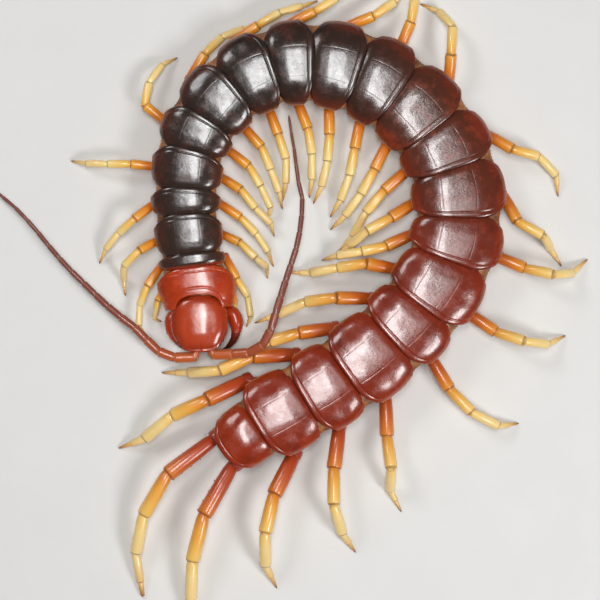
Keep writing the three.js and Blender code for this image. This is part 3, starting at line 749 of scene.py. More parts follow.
RIGHT_LEGS = [
    ((-117, -100, -104, -25), (5.4, 3.4, 1.6)), ((-124, -113, -92, -58), (5, 3, 3.4)),
    ((-149, -135, -97, -85), (7.2, 6, 1.4)), ((-141, -140, -130, -116), (6.2, 4, 2.4)),
    ((174, -180, 177, 170), (4.6, 4, 2.4)), ((142, 79, 55, 28), (4.6, 4, 2.4)),
    ((57, 46, 24, 16), (4.6, 3.0, 1.0)), ((33, 31, 19, 22), (5.2, 5, 2.4)),
    ((25, 34, 33, 42), (4.6, 4, 3.4)), ((21, 36, 71, 94), (5.2, 4, 2.4)),
    ((67, 81, 78, 74), (5.2, 4, 2.4)), ((87, 86, 125, 156), (7.2, 6, 1.4)),
    ((-31, -13, -44, -84), (6.2, 4, 1.4)), ((-63, -29, -50, -57), (7.2, 8, 1.4)),
    ((-23, -13, 5, 41), (5.2, 8, 2.4)), ((-34, -18, -7, 24), (5.0, 8, 3.4)),
    ((-59, -46, -27, 5), (4.6, 6, 3.4)), ((-88, -83, -91, -63), (4.6, 8, 1.4)),
    ((-98, -90, -74, -56), (6.2, 8, 3.4)), ((-117, -103, -90, -65), (7.2, 8, 3.4)),
]
LEGS = {"left": LEFT_LEGS, "right": RIGHT_LEGS}
REACH = {("left", 14): 0.94, ("left", 15): 0.84, ("left", 16): 0.94, ("left", 18): 0.9, ("right", 1): 0.68}
SIGN = {"left": 1, "right": -1}
THIGH, TIBIA, FOOT, ANKLE, LEG_RADIUS = 1.2, 1.0, 0.76, 0.52, 0.205
CLAW_RADIUS = 0.3
FIRST_FEMUR = 4.4
FEMUR, FEMUR_GROWTH, FEMUR_TAIL = 5.3, 3.3, 1.6
ROOT_ALONG = (0.45, 0.75)
ROOT_SHARE, ROOT_CLEARANCE, ROOT_SPARE = 0.34, 1.05, 0.55
COXA_DEPTH = 3.2
print("legs:", len(LEFT_LEGS) + len(RIGHT_LEGS))


# %% Where the joints of a leg lie
def femur_length(segment):
    """The femur grows from the first leg to the last."""
    along = segment / 20
    return FIRST_FEMUR if segment == 1 else FEMUR + FEMUR_GROWTH * along + FEMUR_TAIL * along**8


def step_from(point, heading, length, rise):
    """On from a point by a length of limb that rises or falls by some millimetres."""
    level = math.sqrt(max(length**2 - rise**2, 0))
    return point + np.append(towards(heading) * level, rise)


def leg_station(segment):
    """The place on the midline beside which a leg leaves its segment."""
    along = ROOT_ALONG[0] + (ROOT_ALONG[1] - ROOT_ALONG[0]) * (segment / 20) ** 2
    return midline(STARTS[segment - 1] + LENGTHS[segment - 1] * along)


def leg_shape(side, segment):
    """The joints of a leg, from its root to its toe, and its radius."""
    headings, (first_knee, second_knee, ankle_height) = LEGS[side][segment - 1]
    sign = SIGN[side]
    radius = femur_length(segment) * LEG_RADIUS
    femur = femur_length(segment) * REACH.get((side, segment), 1)
    place, heading = leg_station(segment)
    sweep = abs(math.sin(math.radians(headings[0] - (heading - 90 * sign))))
    out = plate_width(segment) * ROOT_SHARE + ROOT_CLEARANCE + radius * (ROOT_SPARE + sweep)
    root = beside(place, heading, sign * out, COXA_HEIGHT)
    first = step_from(root, headings[0], femur * THIGH, first_knee - root[2])
    second = step_from(first, headings[1], femur, second_knee - first[2])
    ankle = step_from(second, headings[2], femur * TIBIA, ankle_height - second[2])
    toe = step_from(ankle, headings[3], femur * FOOT, CLAW_RADIUS * 0.6 - ankle[2])
    return [root, first, second, ankle, ankle + (toe - ankle) * ANKLE, toe], radius


print("first right foot at", leg_shape("right", 1)[0][-1].round(1))

# %% [markdown]
# ## Finish of the legs
# A leg runs from orange-red at the thigh through yellow to cream, with thin dark rings at the joints and a
# darker foot. On the hind legs the thigh is brown-red. Each leg could have a material of its own, but this
# one reads which article a point is on, how far along it lies, and the place of the leg on the body, so that
# one finish serves all the legs.

# %% Leg and claw materials
def leg_finish(name):
    f = Finish(name)
    reach, along, back = f.mark("reach"), f.mark("along"), f.mark("back")
    cloud = f.noise(260, 4.0, 0.55)
    fine = f.noise(1300, 3.0, 0.6)
    at = (reach + along + (cloud - 0.5) * 0.25) * 0.2
    front = f.ramp(at, [
        (0.00, (0.56, 0.110, 0.008)), (0.07, (0.72, 0.190, 0.010)), (0.17, (0.82, 0.340, 0.028)),
        (0.25, (0.90, 0.540, 0.110)), (0.38, (0.92, 0.680, 0.260)), (0.62, (0.88, 0.640, 0.260)),
        (0.84, (0.76, 0.460, 0.140)), (1.00, (0.40, 0.160, 0.045)),
    ])
    hind = f.ramp(at, [
        (0.00, (0.34, 0.028, 0.005)), (0.11, (0.48, 0.066, 0.007)), (0.19, (0.66, 0.170, 0.014)),
        (0.27, (0.82, 0.360, 0.040)), (0.38, (0.88, 0.520, 0.120)), (0.48, (0.90, 0.660, 0.260)),
        (0.66, (0.88, 0.640, 0.270)), (0.84, (0.76, 0.470, 0.150)), (1.00, (0.38, 0.150, 0.040)),
    ])
    colour = f.blend(front, hind, f.band(back, 10.0, 20.0))
    ring = f.band(along, 0.955, 0.985) + (1 - f.band(along, 0.02, 0.06)) * 0.6
    colour = f.blend(colour, (0.14, 0.035, 0.012), ring * (0.35 + cloud * 0.5))
    normal = f.bump(fine, 0.00005, 0.55)
    normal = f.bump(cloud, 0.00012, 0.25, normal)
    return f.shell(colour, 0.30 + fine * 0.14, normal, coat=0.5, coat_roughness=0.15, glow=0.12)


def horn_finish(name, tip_colour, base_colour):
    """Dark hard horn, paler at its root, for claws and fangs."""
    f = Finish(name)
    along = f.mark("along")
    cloud = f.noise(500, 3.0, 0.5)
    stops = [(0.0, base_colour), (0.45, tip_colour), (1.0, (0.008, 0.004, 0.003))]
    colour = f.ramp(along + (cloud - 0.5) * 0.12, stops)
    return f.shell(colour, 0.22 + cloud * 0.12, f.bump(cloud, 0.00003, 0.4), coat=0.6)


LEG = leg_finish("leg_cuticle")
TERMINAL = leg_finish("terminal_leg_cuticle")
CLAW = horn_finish("claw_horn", (0.035, 0.012, 0.006), (0.22, 0.08, 0.03))
print("leg materials:", LEG.name, TERMINAL.name, CLAW.name)


# %% The walking legs
LEG_RADII = [(0.96, 1.06), (0.84, 0.92), (0.74, 0.78), (0.50, 0.44)]


def spur(joints, i, radius):
    """The small dark thorn under the end of an article."""
    way = unit(joints[i] - joints[i - 1])
    start = joints[i] - way * radius * 0.6 + np.array([0, 0, -0.55 * radius])
    return hook(start, way + np.array([0, 0, -0.35]), radius * 1.3, radius * 0.2, 0.2, 8, 8)


def walking_leg(side, segment):
    """The articles of a leg, and its claw with two spurs."""
    joints, radius = leg_shape(side, segment)
    radii = [(a * radius, b * radius) for a, b in LEG_RADII] + [(radius * 0.36, CLAW_RADIUS)]
    forms, count = [], len(radii)
    for i, (base, end) in enumerate(radii):
        way = unit(joints[i + 1] - joints[i])
        start = joints[i] - way * base * 0.45
        stop = joints[i + 1] - way * (0.9 if i == count - 1 else 0.1) * end
        bow = 0.05 * np.linalg.norm(stop - start) if i < 3 else 0.0
        forms.append(article(start, stop, (base, end), bow=bow, reach=float(i), back=float(segment)))
    spurs = [spur(joints, i, radii[i - 1][1]) for i in (3, 4)]
    way = unit(joints[5] - joints[4])
    start, upwards = joints[5] - way * CLAW_RADIUS * 2.0, np.array([0, 0, 0.5])
    claw = hook(start, way + upwards, CLAW_RADIUS * 3.0, CLAW_RADIUS * 0.85, 0.9)
    return forms, [claw] + spurs


for side in ("left", "right"):
    for segment in range(1, SEGMENTS):
        tubes, claws = walking_leg(side, segment)
        name = f"leg_{side}_{segment:02d}"
        piece(f"{name}_articles", tubes, LEG, [name])
        piece(f"{name}_claw", claws, CLAW)
print("walking legs dressed")

# %% [markdown]
# ## Hips
# A leg stands on a short, wide coxa that grows out of the flank, with a narrow ring between it and the thigh.
# It could be a form of its own, but little of it shows beside the plates, so it is the same tube as the
# other articles, only stouter. It takes the colour of the thigh that it carries, darker towards the body.

# %% Coxae and the trochanter rings
def hip_finish():
    f = Finish("coxa_cuticle")
    along, back = f.mark("along"), f.mark("back")
    cloud = f.noise(300, 4.0, 0.6)
    outwards = f.band(along + (cloud - 0.5) * 0.4, 0.2, 0.9)
    front = f.blend((0.34, 0.060, 0.012), (0.58, 0.120, 0.010), outwards)
    colour = f.blend(front, (0.32, 0.028, 0.006), f.band(back, 10.0, 20.0))
    colour = f.blend(colour, (0.12, 0.030, 0.012), f.band(along, 0.93, 0.98) * 0.6)
    return f.shell(colour, 0.3 + cloud * 0.15, f.bump(cloud, 0.00012, 0.5), coat=0.5)


HIP = hip_finish()


def hip(side, segment):
    """The coxa of a leg and the ring that joins it to the thigh."""
    joints, radius = leg_shape(side, segment)
    place, heading = leg_station(segment)
    out = plate_width(segment) * ROOT_SHARE - COXA_DEPTH
    inner = beside(place, heading, SIGN[side] * out, COXA_HEIGHT)
    on = unit(joints[1] - joints[0]) * radius
    face, back = joints[0] - on * 0.55, float(segment)
    coxa = article(inner, face, (radius * 1.05, radius * 1.12), rows=22, back=back)
    ring = article(joints[0] - on * 0.95, joints[0] + on * 0.15, (radius * 0.98, radius), rows=14, back=back)
    return [coxa, ring]


for first, last in TRUNKS[:-1]:
    hips = [tube for k in range(first, last + 1) for side in ("left", "right") for tube in hip(side, k)]
    piece(f"coxae_{first:02d}", hips, HIP)
print("hips dressed")

# %% [markdown]
# ## The last legs
# The last pair no longer walks. It trails behind as two long feelers that can also grip. They are thicker
# than the others, stand on two swollen side pieces of the last segment, and carry short thorns on the thigh.
# The function of the walking legs could make them, but they have lengths of their own and sink to the floor
# without a raised knee and ankle, so they get a short function of their own.

# %% Terminal legs and what carries them
TERMINAL_HEADINGS = {"left": (-143, -120, -102, -82, -82), "right": (-120, -104, -93, -88, -88)}
TERMINAL_LENGTHS = (15.0, 12.8, 11.0, 8.2, 4.0)
TERMINAL_HEIGHTS = (5.2, 7.4, 5.6, 3.0, 1.2, 0.3)
TERMINAL_RADIUS = 2.1
TERMINAL_RADII = [(0.92, 1.06), (0.86, 0.94), (0.76, 0.80), (0.60, 0.50), (0.40, 0.26)]
TERMINAL_ROOT = {"out": 4.4, "back": 0.8}
THORNS = ((0.35, -0.5), (0.55, 0.2), (0.75, -0.3), (0.93, 0.6))
LAST_PLACE = 20.0
FINE = {"rows": 30, "columns": 26, "back": LAST_PLACE}


def terminal_joints(side):
    place, heading = midline(STARTS[-1])
    out = SIGN[side] * TERMINAL_ROOT["out"]
    joints = [beside(place, heading, out, TERMINAL_HEIGHTS[0], TERMINAL_ROOT["back"])]
    for i in range(5):
        rise = TERMINAL_HEIGHTS[i + 1] - TERMINAL_HEIGHTS[i]
        joints.append(step_from(joints[-1], TERMINAL_HEADINGS[side][i], TERMINAL_LENGTHS[i], rise))
    return joints


def terminal_leg(side):
    """The articles of a last leg, and its thorns with the claw."""
    joints = terminal_joints(side)
    forms, horns = [], []
    for i, (base, end) in enumerate(TERMINAL_RADII):
        base, end = base * TERMINAL_RADIUS, end * TERMINAL_RADIUS
        way, bow = unit(joints[i + 1] - joints[i]), 0.03 * TERMINAL_LENGTHS[i]
        start, stop = joints[i] - way * base * 0.45, joints[i + 1] - way * 0.1 * end
        forms.append(article(start, stop, (base, end), bow=bow, reach=float(i), **FINE))
    way = unit(joints[1] - joints[0])
    inward = np.cross(way, [0, 0, 1]) * -SIGN[side]
    for at, low in THORNS:
        start = joints[0] + way * TERMINAL_LENGTHS[0] * at + inward * 1.7 + np.array([0, 0, low])
        horns.append(hook(start, way * 0.6 + inward, 0.8, 0.28, 0.1, 9, 9))
    tip_way = unit(joints[5] - joints[4])
    horns.append(hook(joints[5] - tip_way * 1.1, tip_way + np.array([0, 0, 0.35]), 1.5, 0.36, 0.6))
    return forms, horns


def side_piece(side):
    """The swollen side piece that carries a last leg, with its thorn."""
    joints = terminal_joints(side)
    place, heading = midline(STARTS[-2] + LENGTHS[-1] * 0.3)
    inner = beside(place, heading, SIGN[side] * TERMINAL_ROOT["out"], TERMINAL_HEIGHTS[0])
    way = unit(joints[1] - joints[0])
    tube = article(inner, joints[0] - way * 0.4, (TERMINAL_RADIUS * 1.2, TERMINAL_RADIUS * 1.08), **FINE)
    end = joints[0] + np.array([0, 0, -1.1])
    thorn = hook(end - way * 1.2, way + np.array([0, 0, -0.2]), 2.0, 0.5, 0.1, back=LAST_PLACE)
    return [tube, thorn]


for side in ("left", "right"):
    tubes, horns = terminal_leg(side)
    piece(f"leg_{side}_21_articles", tubes, TERMINAL, [f"leg_{side}_21"])
    piece(f"leg_{side}_21_thorns", horns, CLAW)
piece("coxopleura", side_piece("left") + side_piece("right"), HIP)
print("terminal legs dressed")

# %% [markdown]
# ## The head
# The head is a flat shield, round behind, where it fits into the first plate, and narrower in front. It could
# be cut from a squashed ball, but the outline wouldn't fit the plate behind it. Two curves do: a rounded one
# behind the widest place, which the first plate uses too, and a tapering one before it. Below the shield the
# sides of the head capsule carry four little eyes each, and the antennae stand in sockets in front.

# %% Head and forcipule materials
def head_finish(name, middle, side):
    f = Finish(name)
    edge = f.mark("edge")
    cloud = f.noise(150, 4.0, 0.55)
    fine = f.noise(1000, 3.0, 0.6)
    colour = f.blend(side, middle, f.band(edge + (cloud - 0.5) * 2.0, 0.6, 3.2))
    colour = f.blend(colour, (0.56, 0.060, 0.008), f.band(cloud, 0.5, 0.8) * 0.5)
    blotch = f.noise(420, 5.0, 0.65)
    colour = f.blend(colour, (0.20, 0.012, 0.004), f.band(blotch, 0.54, 0.74) * 0.45)
    normal = f.bump(fine, 0.00006, 0.55, f.bump(blotch, 0.0001, 0.3))
    rough = 0.15 + f.band(blotch, 0.3, 0.75) * 0.15 + fine * 0.08
    return f.shell(colour, rough, normal, coat=0.4, coat_roughness=0.09)


HEAD_SHELL = head_finish("head_shield_cuticle", (0.45, 0.046, 0.008), (0.33, 0.030, 0.007))
JAW = head_finish("poison_claw_cuticle", (0.42, 0.034, 0.006), (0.30, 0.022, 0.005))
FANG = horn_finish("fang_horn", (0.075, 0.008, 0.005), (0.30, 0.020, 0.007))
EYE = horn_finish("eye_lens", (0.006, 0.005, 0.005), (0.012, 0.009, 0.008))
HEAD_UNDER = 5.4
print("head materials:", HEAD_SHELL.name, JAW.name, FANG.name, EYE.name)


def head_place(back):
    """Places on the head's own axis: back runs from its front to its rear corners."""
    back = np.asarray(back, float)[..., None]
    return HEAD_FRONT + towards(HEAD_HEADING) * back, HEAD_HEADING


def head_share(along):
    """Half width of the head as a share, from behind its rear corners (below 0) to its front (1)."""
    behind = np.clip((HEAD_WIDEST - along) / HEAD_ROUND, 0, 1)
    ahead = np.clip((along - HEAD_WIDEST) / 0.62, 0, 1.05)
    return (1 - behind**ROUND_POWER) ** (1 / ROUND_POWER) * (1 - 0.38 * ahead**2.3)


# %% The head shield
HEAD_DROP = [
    (-0.225, 1.6), (-0.17, 0.85), (-0.08, 0.42), (0.06, 0.18),
    (0.36, 0.0), (0.62, 0.05), (0.84, 0.5), (1.0, 1.35),
]
SHIELD_THICKNESS = 0.3
HEAD_REAR = 0.222


def head_shield(rows=56, columns=61):
    """The shield as a grid: rows from its front to its rear, columns from side to side."""
    t = spread(lambda x: 1 + 2.5 * bump_at(x, 0, 0.12) + 1.5 * bump_at(x, 1, 0.12), 0, 1, rows)
    along = (1.0 - t * (1 + HEAD_REAR))[:, None]
    even = np.linspace(-1, 1, columns)
    side = (np.sign(even) * (1 - (1 - np.abs(even)) ** 1.6))[None, :]
    middle = np.abs(side)
    half = HEAD_HALF * head_share(along)
    round_front = 0.075 * middle**3 * np.clip((along - 0.5) / 0.5, 0, 1)
    down = smooth_follow(HEAD_DROP, along, 0.04)
    under = HEAD_UNDER + smooth_follow([(0.80, 0.0), (1.0, 2.6)], along, 0.04)
    tall = HEAD_HEIGHT - down - under
    dome = 0.40 + 0.60 * (1 - middle**ROUND_POWER) ** 0.45
    back = HEAD_LENGTH * (1 - along + round_front)
    distance = np.minimum((1 - middle) * half, HEAD_LENGTH * np.minimum(along + HEAD_REAR, 1.0 - along))
    relief = 0.10 * bump_at(distance, 0.3, 0.22) - 0.10 * bump_at(distance, 0.95, 0.25)
    relief = relief - 0.16 * bump_at(side, 0, 0.05) * bump_at(along, 0.93, 0.14)
    relief = relief - 0.10 * bump_at(middle, 0.45, 0.14) * bump_at(along, 0.55, 0.3)
    place, heading = head_place(np.broadcast_to(back, (rows, columns)))
    points = beside(place, heading, side * half, under + tall * dome + relief)
    return form(points, edge=distance)


piece("head_shield", [head_shield()], HEAD_SHELL, thickness=SHIELD_THICKNESS)
print("head shield", round(HEAD_HALF * 2, 1), "mm wide")


# %% The capsule, the plate under it and the mouthparts
def loft_sections(sections, columns=40, power=0.7, **marks):
    """A closed body on the head's axis from (back, half width, low, high) sections."""
    back, half, low, high = np.array(sections, float).T
    fine = np.linspace(0, 1, 40)
    at = np.linspace(0, 1, len(back))
    back, half, low, high = (np.interp(fine, at, v)[:, None] for v in (back, half, low, high))
    turn = np.linspace(-np.pi, np.pi, columns, endpoint=False)[None, :]
    flat = lambda x: np.sign(x) * np.abs(x) ** power
    across = half * flat(np.sin(turn))
    height = (high + low) / 2 + (high - low) / 2 * flat(np.cos(turn))
    place, heading = head_place(np.broadcast_to(back, across.shape))
    return form(beside(place, heading, across, height), around=True, **marks)


capsule = loft_sections([
    (0.5, 3.4, 7.9, 9.0), (1.6, 5.2, 6.4, 9.0), (4.0, 6.9, 5.2, 9.0), (8.0, 7.1, 5.2, 9.0),
    (12.0, 6.3, 5.2, 9.0), (14.0, 3.2, 5.6, 8.6),
], edge=2.0)
sternal = loft_sections([
    (4.2, 2.4, 3.4, 6.2), (5.2, 3.1, 2.6, 6.2), (9.3, 5.1, 2.1, 6.2), (11.9, 5.2, 2.1, 6.2),
], edge=2.0)
piece("head_capsule", [capsule], JAW, ["head"])
piece("coxosternite", [sternal], JAW)
print("head capsule and the plate under it dressed")


# %% Teeth and mouthparts
TEETH_ON_A_SIDE = 4
TOOTH_BACK, TOOTH_OUT, TOOTH_STEP, TOOTH_HEIGHT = 4.5, 0.45, 0.55, 3.6
MAXILLA_PATH = [(6.5, 3.6, 5.0), (4.6, 3.9, 4.7), (2.6, 3.0, 4.6), (1.2, 1.5, 4.7)]
MAXILLA_RADII = (0.85, 0.75, 0.6)


def tooth_plates():
    """Small dark teeth at the front of the plate under the head."""
    teeth, forwards = [], np.append(-towards(HEAD_HEADING), -0.1)
    for sign in (-1, 1):
        for k in range(TEETH_ON_A_SIDE):
            out = sign * (TOOTH_OUT + TOOTH_STEP * k)
            start = beside(*head_place(TOOTH_BACK), out, TOOTH_HEIGHT)
            teeth.append(hook(start, forwards, 0.75, 0.26, 0.1, 8, 10))
    return teeth


def maxillae():
    """The soft mouthparts under the head, three articles on each side, from (back, out, height) places."""
    forms = []
    for sign in (-1, 1):
        points = [beside(*head_place(back), sign * out, high) for back, out, high in MAXILLA_PATH]
        for start, end, thick in zip(points, points[1:], MAXILLA_RADII):
            forms.append(article(start, end, (thick, thick * 0.9)))
    return forms


piece("tooth_plates", tooth_plates(), FANG)
piece("maxillae", maxillae(), SKIN)
print("mouthparts dressed")


# %% The eyes
def bead(centre, radius, rows=14, columns=18):
    """A small round lens."""
    t = np.linspace(0.06, math.pi - 0.06, rows)[:, None]
    turn = np.linspace(0, 2 * np.pi, columns, endpoint=False)[None, :]
    ball = np.stack([np.sin(t) * np.cos(turn), np.sin(t) * np.sin(turn), np.cos(t) + 0 * turn], -1)
    return form(centre + ball[:, ::-1] * radius, around=True, along=0.5)


EYES = ((1.75, 5.05, 8.35), (2.05, 5.35, 7.65), (2.75, 5.75, 8.25), (2.9, 5.95, 7.55))
EYE_RADIUS = 0.36
centres = [beside(*head_place(back), sign * out, high) for sign in (-1, 1) for back, out, high in EYES]
beads = [bead(centre, EYE_RADIUS) for centre in centres]
piece("eyes", beads, EYE)
print("eyes:", len(beads))

# %% [markdown]
# ## Poison claws
# The forcipules are the first pair of legs, turned into jaws. A broad first article lies beside the head, two
# narrow rings follow, and a dark curved fang ends it. Straight articles, as in a leg, would break the even
# curve. So each claw follows one smooth path, whose places are the way out from the head's axis, the way back
# from its front, the height and the radius. The stops say where the path is cut into articles.

# %% Forcipules
FORCIPULE_PATHS = {
    "left": np.array([
        (6.0, 10.2, 3.4, 1.4), (7.1, 10.6, 3.8, 1.7), (8.7, 10.2, 4.1, 1.9), (9.5, 8.6, 4.2, 1.95),
        (9.7, 6.9, 4.2, 1.9), (9.65, 5.7, 4.1, 1.5), (9.5, 4.8, 4.0, 1.25), (9.1, 3.4, 3.8, 1.05),
        (8.2, 1.9, 3.4, 0.8), (6.9, 0.8, 3.2, 0.5), (5.6, 0.3, 3.0, 0.2),
    ]),
    "right": np.array([
        (5.7, 10.0, 3.0, 1.4), (6.6, 10.1, 3.0, 1.65), (7.5, 9.2, 3.05, 1.85), (7.7, 7.6, 3.1, 1.9),
        (7.4, 5.8, 3.1, 1.85), (6.8, 4.2, 3.1, 1.5), (6.1, 3.2, 3.05, 1.25), (5.1, 2.0, 3.0, 1.05),
        (3.9, 1.1, 2.9, 0.8), (2.7, 0.6, 2.8, 0.5), (1.6, 0.4, 2.75, 0.2),
    ]),
}
JAW_STOPS = {"base": (0.0, 4.5), "joint": (4.35, 5.15), "second": (5.0, 5.75), "fang": (5.6, 10.0)}


def bent_tube(side, start, end, swell, rows, columns=30):
    """A part of a forcipule's path, from one place on it to another, as a closed tube."""
    path, at = FORCIPULE_PATHS[side], np.linspace(start, end, rows)
    knots, reach = np.arange(len(path)), (-0.4, -0.2, 0, 0.2, 0.4)
    smooth = lambda column: sum(np.interp(at + step, knots, path[:, column]) for step in reach) / len(reach)
    out, back, high, radius = (smooth(column) for column in range(4))
    place, heading = head_place(back)
    middle = beside(place, heading, SIGN[side] * out, high)
    way = np.gradient(middle, axis=0)
    way /= np.linalg.norm(way, axis=1)[:, None]
    across = np.cross(way, [0, 0, 1])
    across /= np.linalg.norm(across, axis=1)[:, None]
    up = np.cross(across, way)
    turn = -np.linspace(0, 2 * np.pi, columns, endpoint=False)
    t = np.linspace(0, 1, rows)
    size = radius * smooth_follow(swell, t, 0.02)
    ring = across[:, None] * np.cos(turn)[None, :, None] + up[:, None] * np.sin(turn)[None, :, None]
    points = middle[:, None] + ring * size[:, None, None]
    return form(points, around=True, along=t[:, None], edge=4.0)


THICK = [(0, 0.75), (0.06, 0.94), (0.5, 1.0), (0.93, 1.0), (0.97, 1.04), (1, 0.80)]
NARROW = [(0, 0.80), (0.2, 0.98), (0.75, 1.0), (0.9, 1.04), (1, 0.82)]
for side in SIGN:
    base = [bent_tube(side, *JAW_STOPS["base"], THICK, 60)]
    base += [bent_tube(side, *JAW_STOPS[ring], NARROW, 20) for ring in ("joint", "second")]
    piece(f"forcipule_{side}_base", base, JAW, [f"forcipule_{side}"])
    fang = bent_tube(side, *JAW_STOPS["fang"], [(0, 0.85), (0.06, 1.0), (1, 1.0)], 56)
    piece(f"forcipule_{side}_fang", [fang], FANG)
print("forcipules dressed")

# %% [markdown]
# ## Antennae
# Each antenna has seventeen articles that get thinner towards the tip. Seen close, every article is a small
# cup with a faint paler rim. The first few are smooth and shiny and the others are covered with very fine
# hairs, which a rougher, softer finish gives better than thousands of tiny cones would.

# %% Antennae
def antenna_finish():
    f = Finish("antenna_cuticle")
    along, order = f.mark("along"), f.mark("order")
    down = f.noise(2600, 2.0, 0.6)
    cloud = f.noise(300, 3.0, 0.5)
    colour = f.ramp(order + (cloud - 0.5) * 0.06, [
        (0.0, (0.50, 0.105, 0.022)), (0.12, (0.38, 0.075, 0.028)), (0.28, (0.24, 0.058, 0.034)),
        (0.6, (0.19, 0.050, 0.030)), (1.0, (0.17, 0.045, 0.026)),
    ])
    colour = f.blend(colour, (0.50, 0.24, 0.12), f.band(along, 0.93, 0.97) * 0.35)
    colour = f.blend(colour, (0.06, 0.018, 0.010), (1 - f.band(along, 0.03, 0.07)) * 0.6)
    rough = 0.26 + f.band(order, 0.3, 0.5) * 0.14 + down * 0.1
    return f.shell(colour, rough, f.bump(down, 0.00005, 0.8), coat=0.4, sheen=0.1)


ANTENNA = antenna_finish()
ANTENNAE = {
    "left": (
        (2, 4, 30, 61, 74, 73, 73, 72, 72, 78, 83, 88, 103, 98, 97, 100, 98),
        (7.2, 11.2, 8.4, 6.4, 4.6),
    ),
    "right": (
        (182, 159, 136, 134, 143, 141, 137, 136, 136, 133, 131, 129, 131, 134, 140, 140, 135),
        (7.0, 6.8, 5.2, 4.0, 3.0),
    ),
}
ANTENNA_ROOTS = {"left": (3.9, -0.8), "right": (2.4, -1.3)}
ARTICLE = 4.55
CUP = [(0, 0.66), (0.05, 0.84), (0.25, 0.96), (0.6, 1.0), (0.88, 1.04), (0.95, 1.05), (1.0, 0.82)]
LAST_CUP = [(0, 0.66), (0.1, 0.88), (0.6, 1.0), (0.85, 0.8), (1.0, 0.25)]
THICKNESS = [(0.0, 1.45), (0.25, 1.12), (0.45, 0.86), (0.75, 0.58), (1.0, 0.32)]


def antenna(side):
    """The articles of an antenna, stepped from its root along its headings."""
    headings, heights = ANTENNAE[side]
    count, (out, back) = len(headings), ANTENNA_ROOTS[side]
    joint = beside(*head_place(back), SIGN[side] * out, heights[0])
    forms, last = [], THICKNESS[0][1]
    for i, heading in enumerate(headings):
        share = (i + 1) / count
        stop = share * 4
        k = min(int(stop), 3)
        level = heights[k] + (heights[k + 1] - heights[k]) * float(ease(stop - k))
        after = step_from(joint, heading, ARTICLE, level - joint[2])
        radius = float(follow(THICKNESS, share))
        way = (after - joint) / ARTICLE
        start = joint - way * (0.35 if i else 0.9) * last
        swell = CUP if i < count - 1 else LAST_CUP
        forms.append(article(start, after, (last, radius), swell, 26, 20, order=i / (count - 1)))
        joint, last = after, radius
    return forms


def antenna_socket(side):
    """The short stem that carries the first article."""
    headings, heights = ANTENNAE[side]
    out, back = ANTENNA_ROOTS[side]
    root = beside(*head_place(back), SIGN[side] * out, heights[0])
    inner = beside(*head_place(2.6), SIGN[side] * (out - 2.0), heights[0])
    return article(inner, root - np.append(towards(headings[0]), 0) * 0.6, (1.2, 1.3), order=0.0)


for side in ("left", "right"):
    piece(f"antenna_{side}_articles", antenna(side), ANTENNA, [f"antenna_{side}"])
piece("antenna_sockets", [antenna_socket("left"), antenna_socket("right")], ANTENNA)
print("antennae dressed")

# %% [markdown]
# ## Floor, light and camera
# The animal lies on a plain pale floor, which isn't part of it. Glossy plates show what shines on them, so
# the lamps decide how they look. One even sky would leave them flat. Here a long soft lamp hangs high over
# the bend, as a window would, and gives each plate a bright patch. Two weak ones beside it add a fainter
# patch, two small ones light the flanks from the sides, and a weak sky fills the shadows. The standard view
# transform keeps the reds full, where the default one pales them. The camera looks straight down from a
# little over half a metre, where the bend fills the frame.

# %% Floor and light
def floor_finish():
    f = Finish("floor_paper")
    grain = f.noise(60, 4.0, 0.6)
    colour = f.blend((0.70, 0.69, 0.67), (0.76, 0.75, 0.73), grain)
    return f.shell(colour, 0.75 + grain * 0.1, f.bump(grain, 0.0002, 0.1))


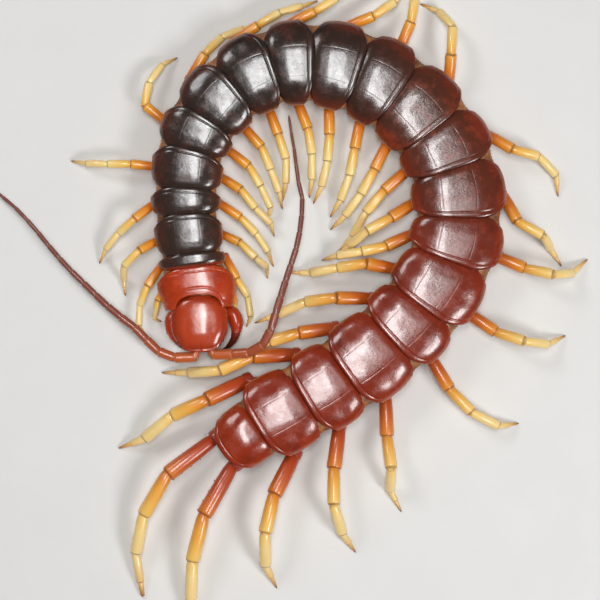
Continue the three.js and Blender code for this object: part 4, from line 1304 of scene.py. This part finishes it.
def soft_lamp(name, at, aim, size, power):
    """An area lamp, in metres and watts, that looks at a place."""
    data = bpy.data.lights.new(name, "AREA")
    data.shape, data.size, data.size_y, data.energy = "RECTANGLE", size[0], size[1], power
    lamp = bpy.data.objects.new(name, data)
    bpy.context.scene.collection.objects.link(lamp)
    way = np.array(aim) - np.array(at)
    lamp.location = at
    lamp.rotation_euler = (math.atan2(math.hypot(way[0], way[1]), -way[2]), 0, math.atan2(-way[0], way[1]))


FLOOR_HALF, FLOOR_LEVEL = 1.5, -0.0002
floor_mesh = bpy.data.meshes.new("floor")
corners = [(x * FLOOR_HALF, y * FLOOR_HALF, FLOOR_LEVEL) for x, y in ((-1, -1), (1, -1), (1, 1), (-1, 1))]
floor_mesh.from_pydata(corners, [], [(0, 1, 2, 3)])
floor_mesh.materials.append(floor_finish())
floor = bpy.data.objects.new("floor", floor_mesh)
bpy.context.scene.collection.objects.link(floor)
soft_lamp("window_light", (-0.003, 0.06, 0.80), (0.0, 0.02, 0.0), (0.105, 0.36), 2.9)
soft_lamp("second_window", (0.125, 0.02, 0.80), (0.04, 0.0, 0.0), (0.10, 0.30), 0.30)
soft_lamp("left_window", (-0.075, 0.10, 0.80), (-0.02, 0.0, 0.0), (0.04, 0.26), 0.12)
soft_lamp("side_light", (0.42, -0.30, 0.50), (0.0, 0.0, 0.0), (0.20, 0.20), 2.3)
soft_lamp("back_light", (-0.40, 0.42, 0.50), (0.0, 0.0, 0.0), (0.20, 0.20), 1.3)
world = bpy.data.worlds.new("pale_room")
world.use_nodes = True
sky = world.node_tree.nodes["Background"].inputs
sky["Color"].default_value = (0.9, 0.93, 1.0, 1)
sky["Strength"].default_value = 0.10
bpy.context.scene.world = world
bpy.context.scene.view_settings.view_transform = "Standard"
print("floor and lamps placed")

# %% Camera
CAMERA_HEIGHT = 0.55
FRAME_WIDTH = 0.159
LEG_LEVEL = 0.008
SENSOR = 36
camera_data = bpy.data.cameras.new("camera")
camera_data.sensor_width = SENSOR
camera_data.lens = SENSOR * (CAMERA_HEIGHT - LEG_LEVEL) / FRAME_WIDTH
camera_data.clip_start = 0.01
camera = bpy.data.objects.new("camera", camera_data)
camera.location = (0.0045, -0.0003, CAMERA_HEIGHT)
bpy.context.scene.collection.objects.link(camera)
bpy.context.scene.camera = camera
print("camera lens:", round(camera_data.lens, 1), "mm")
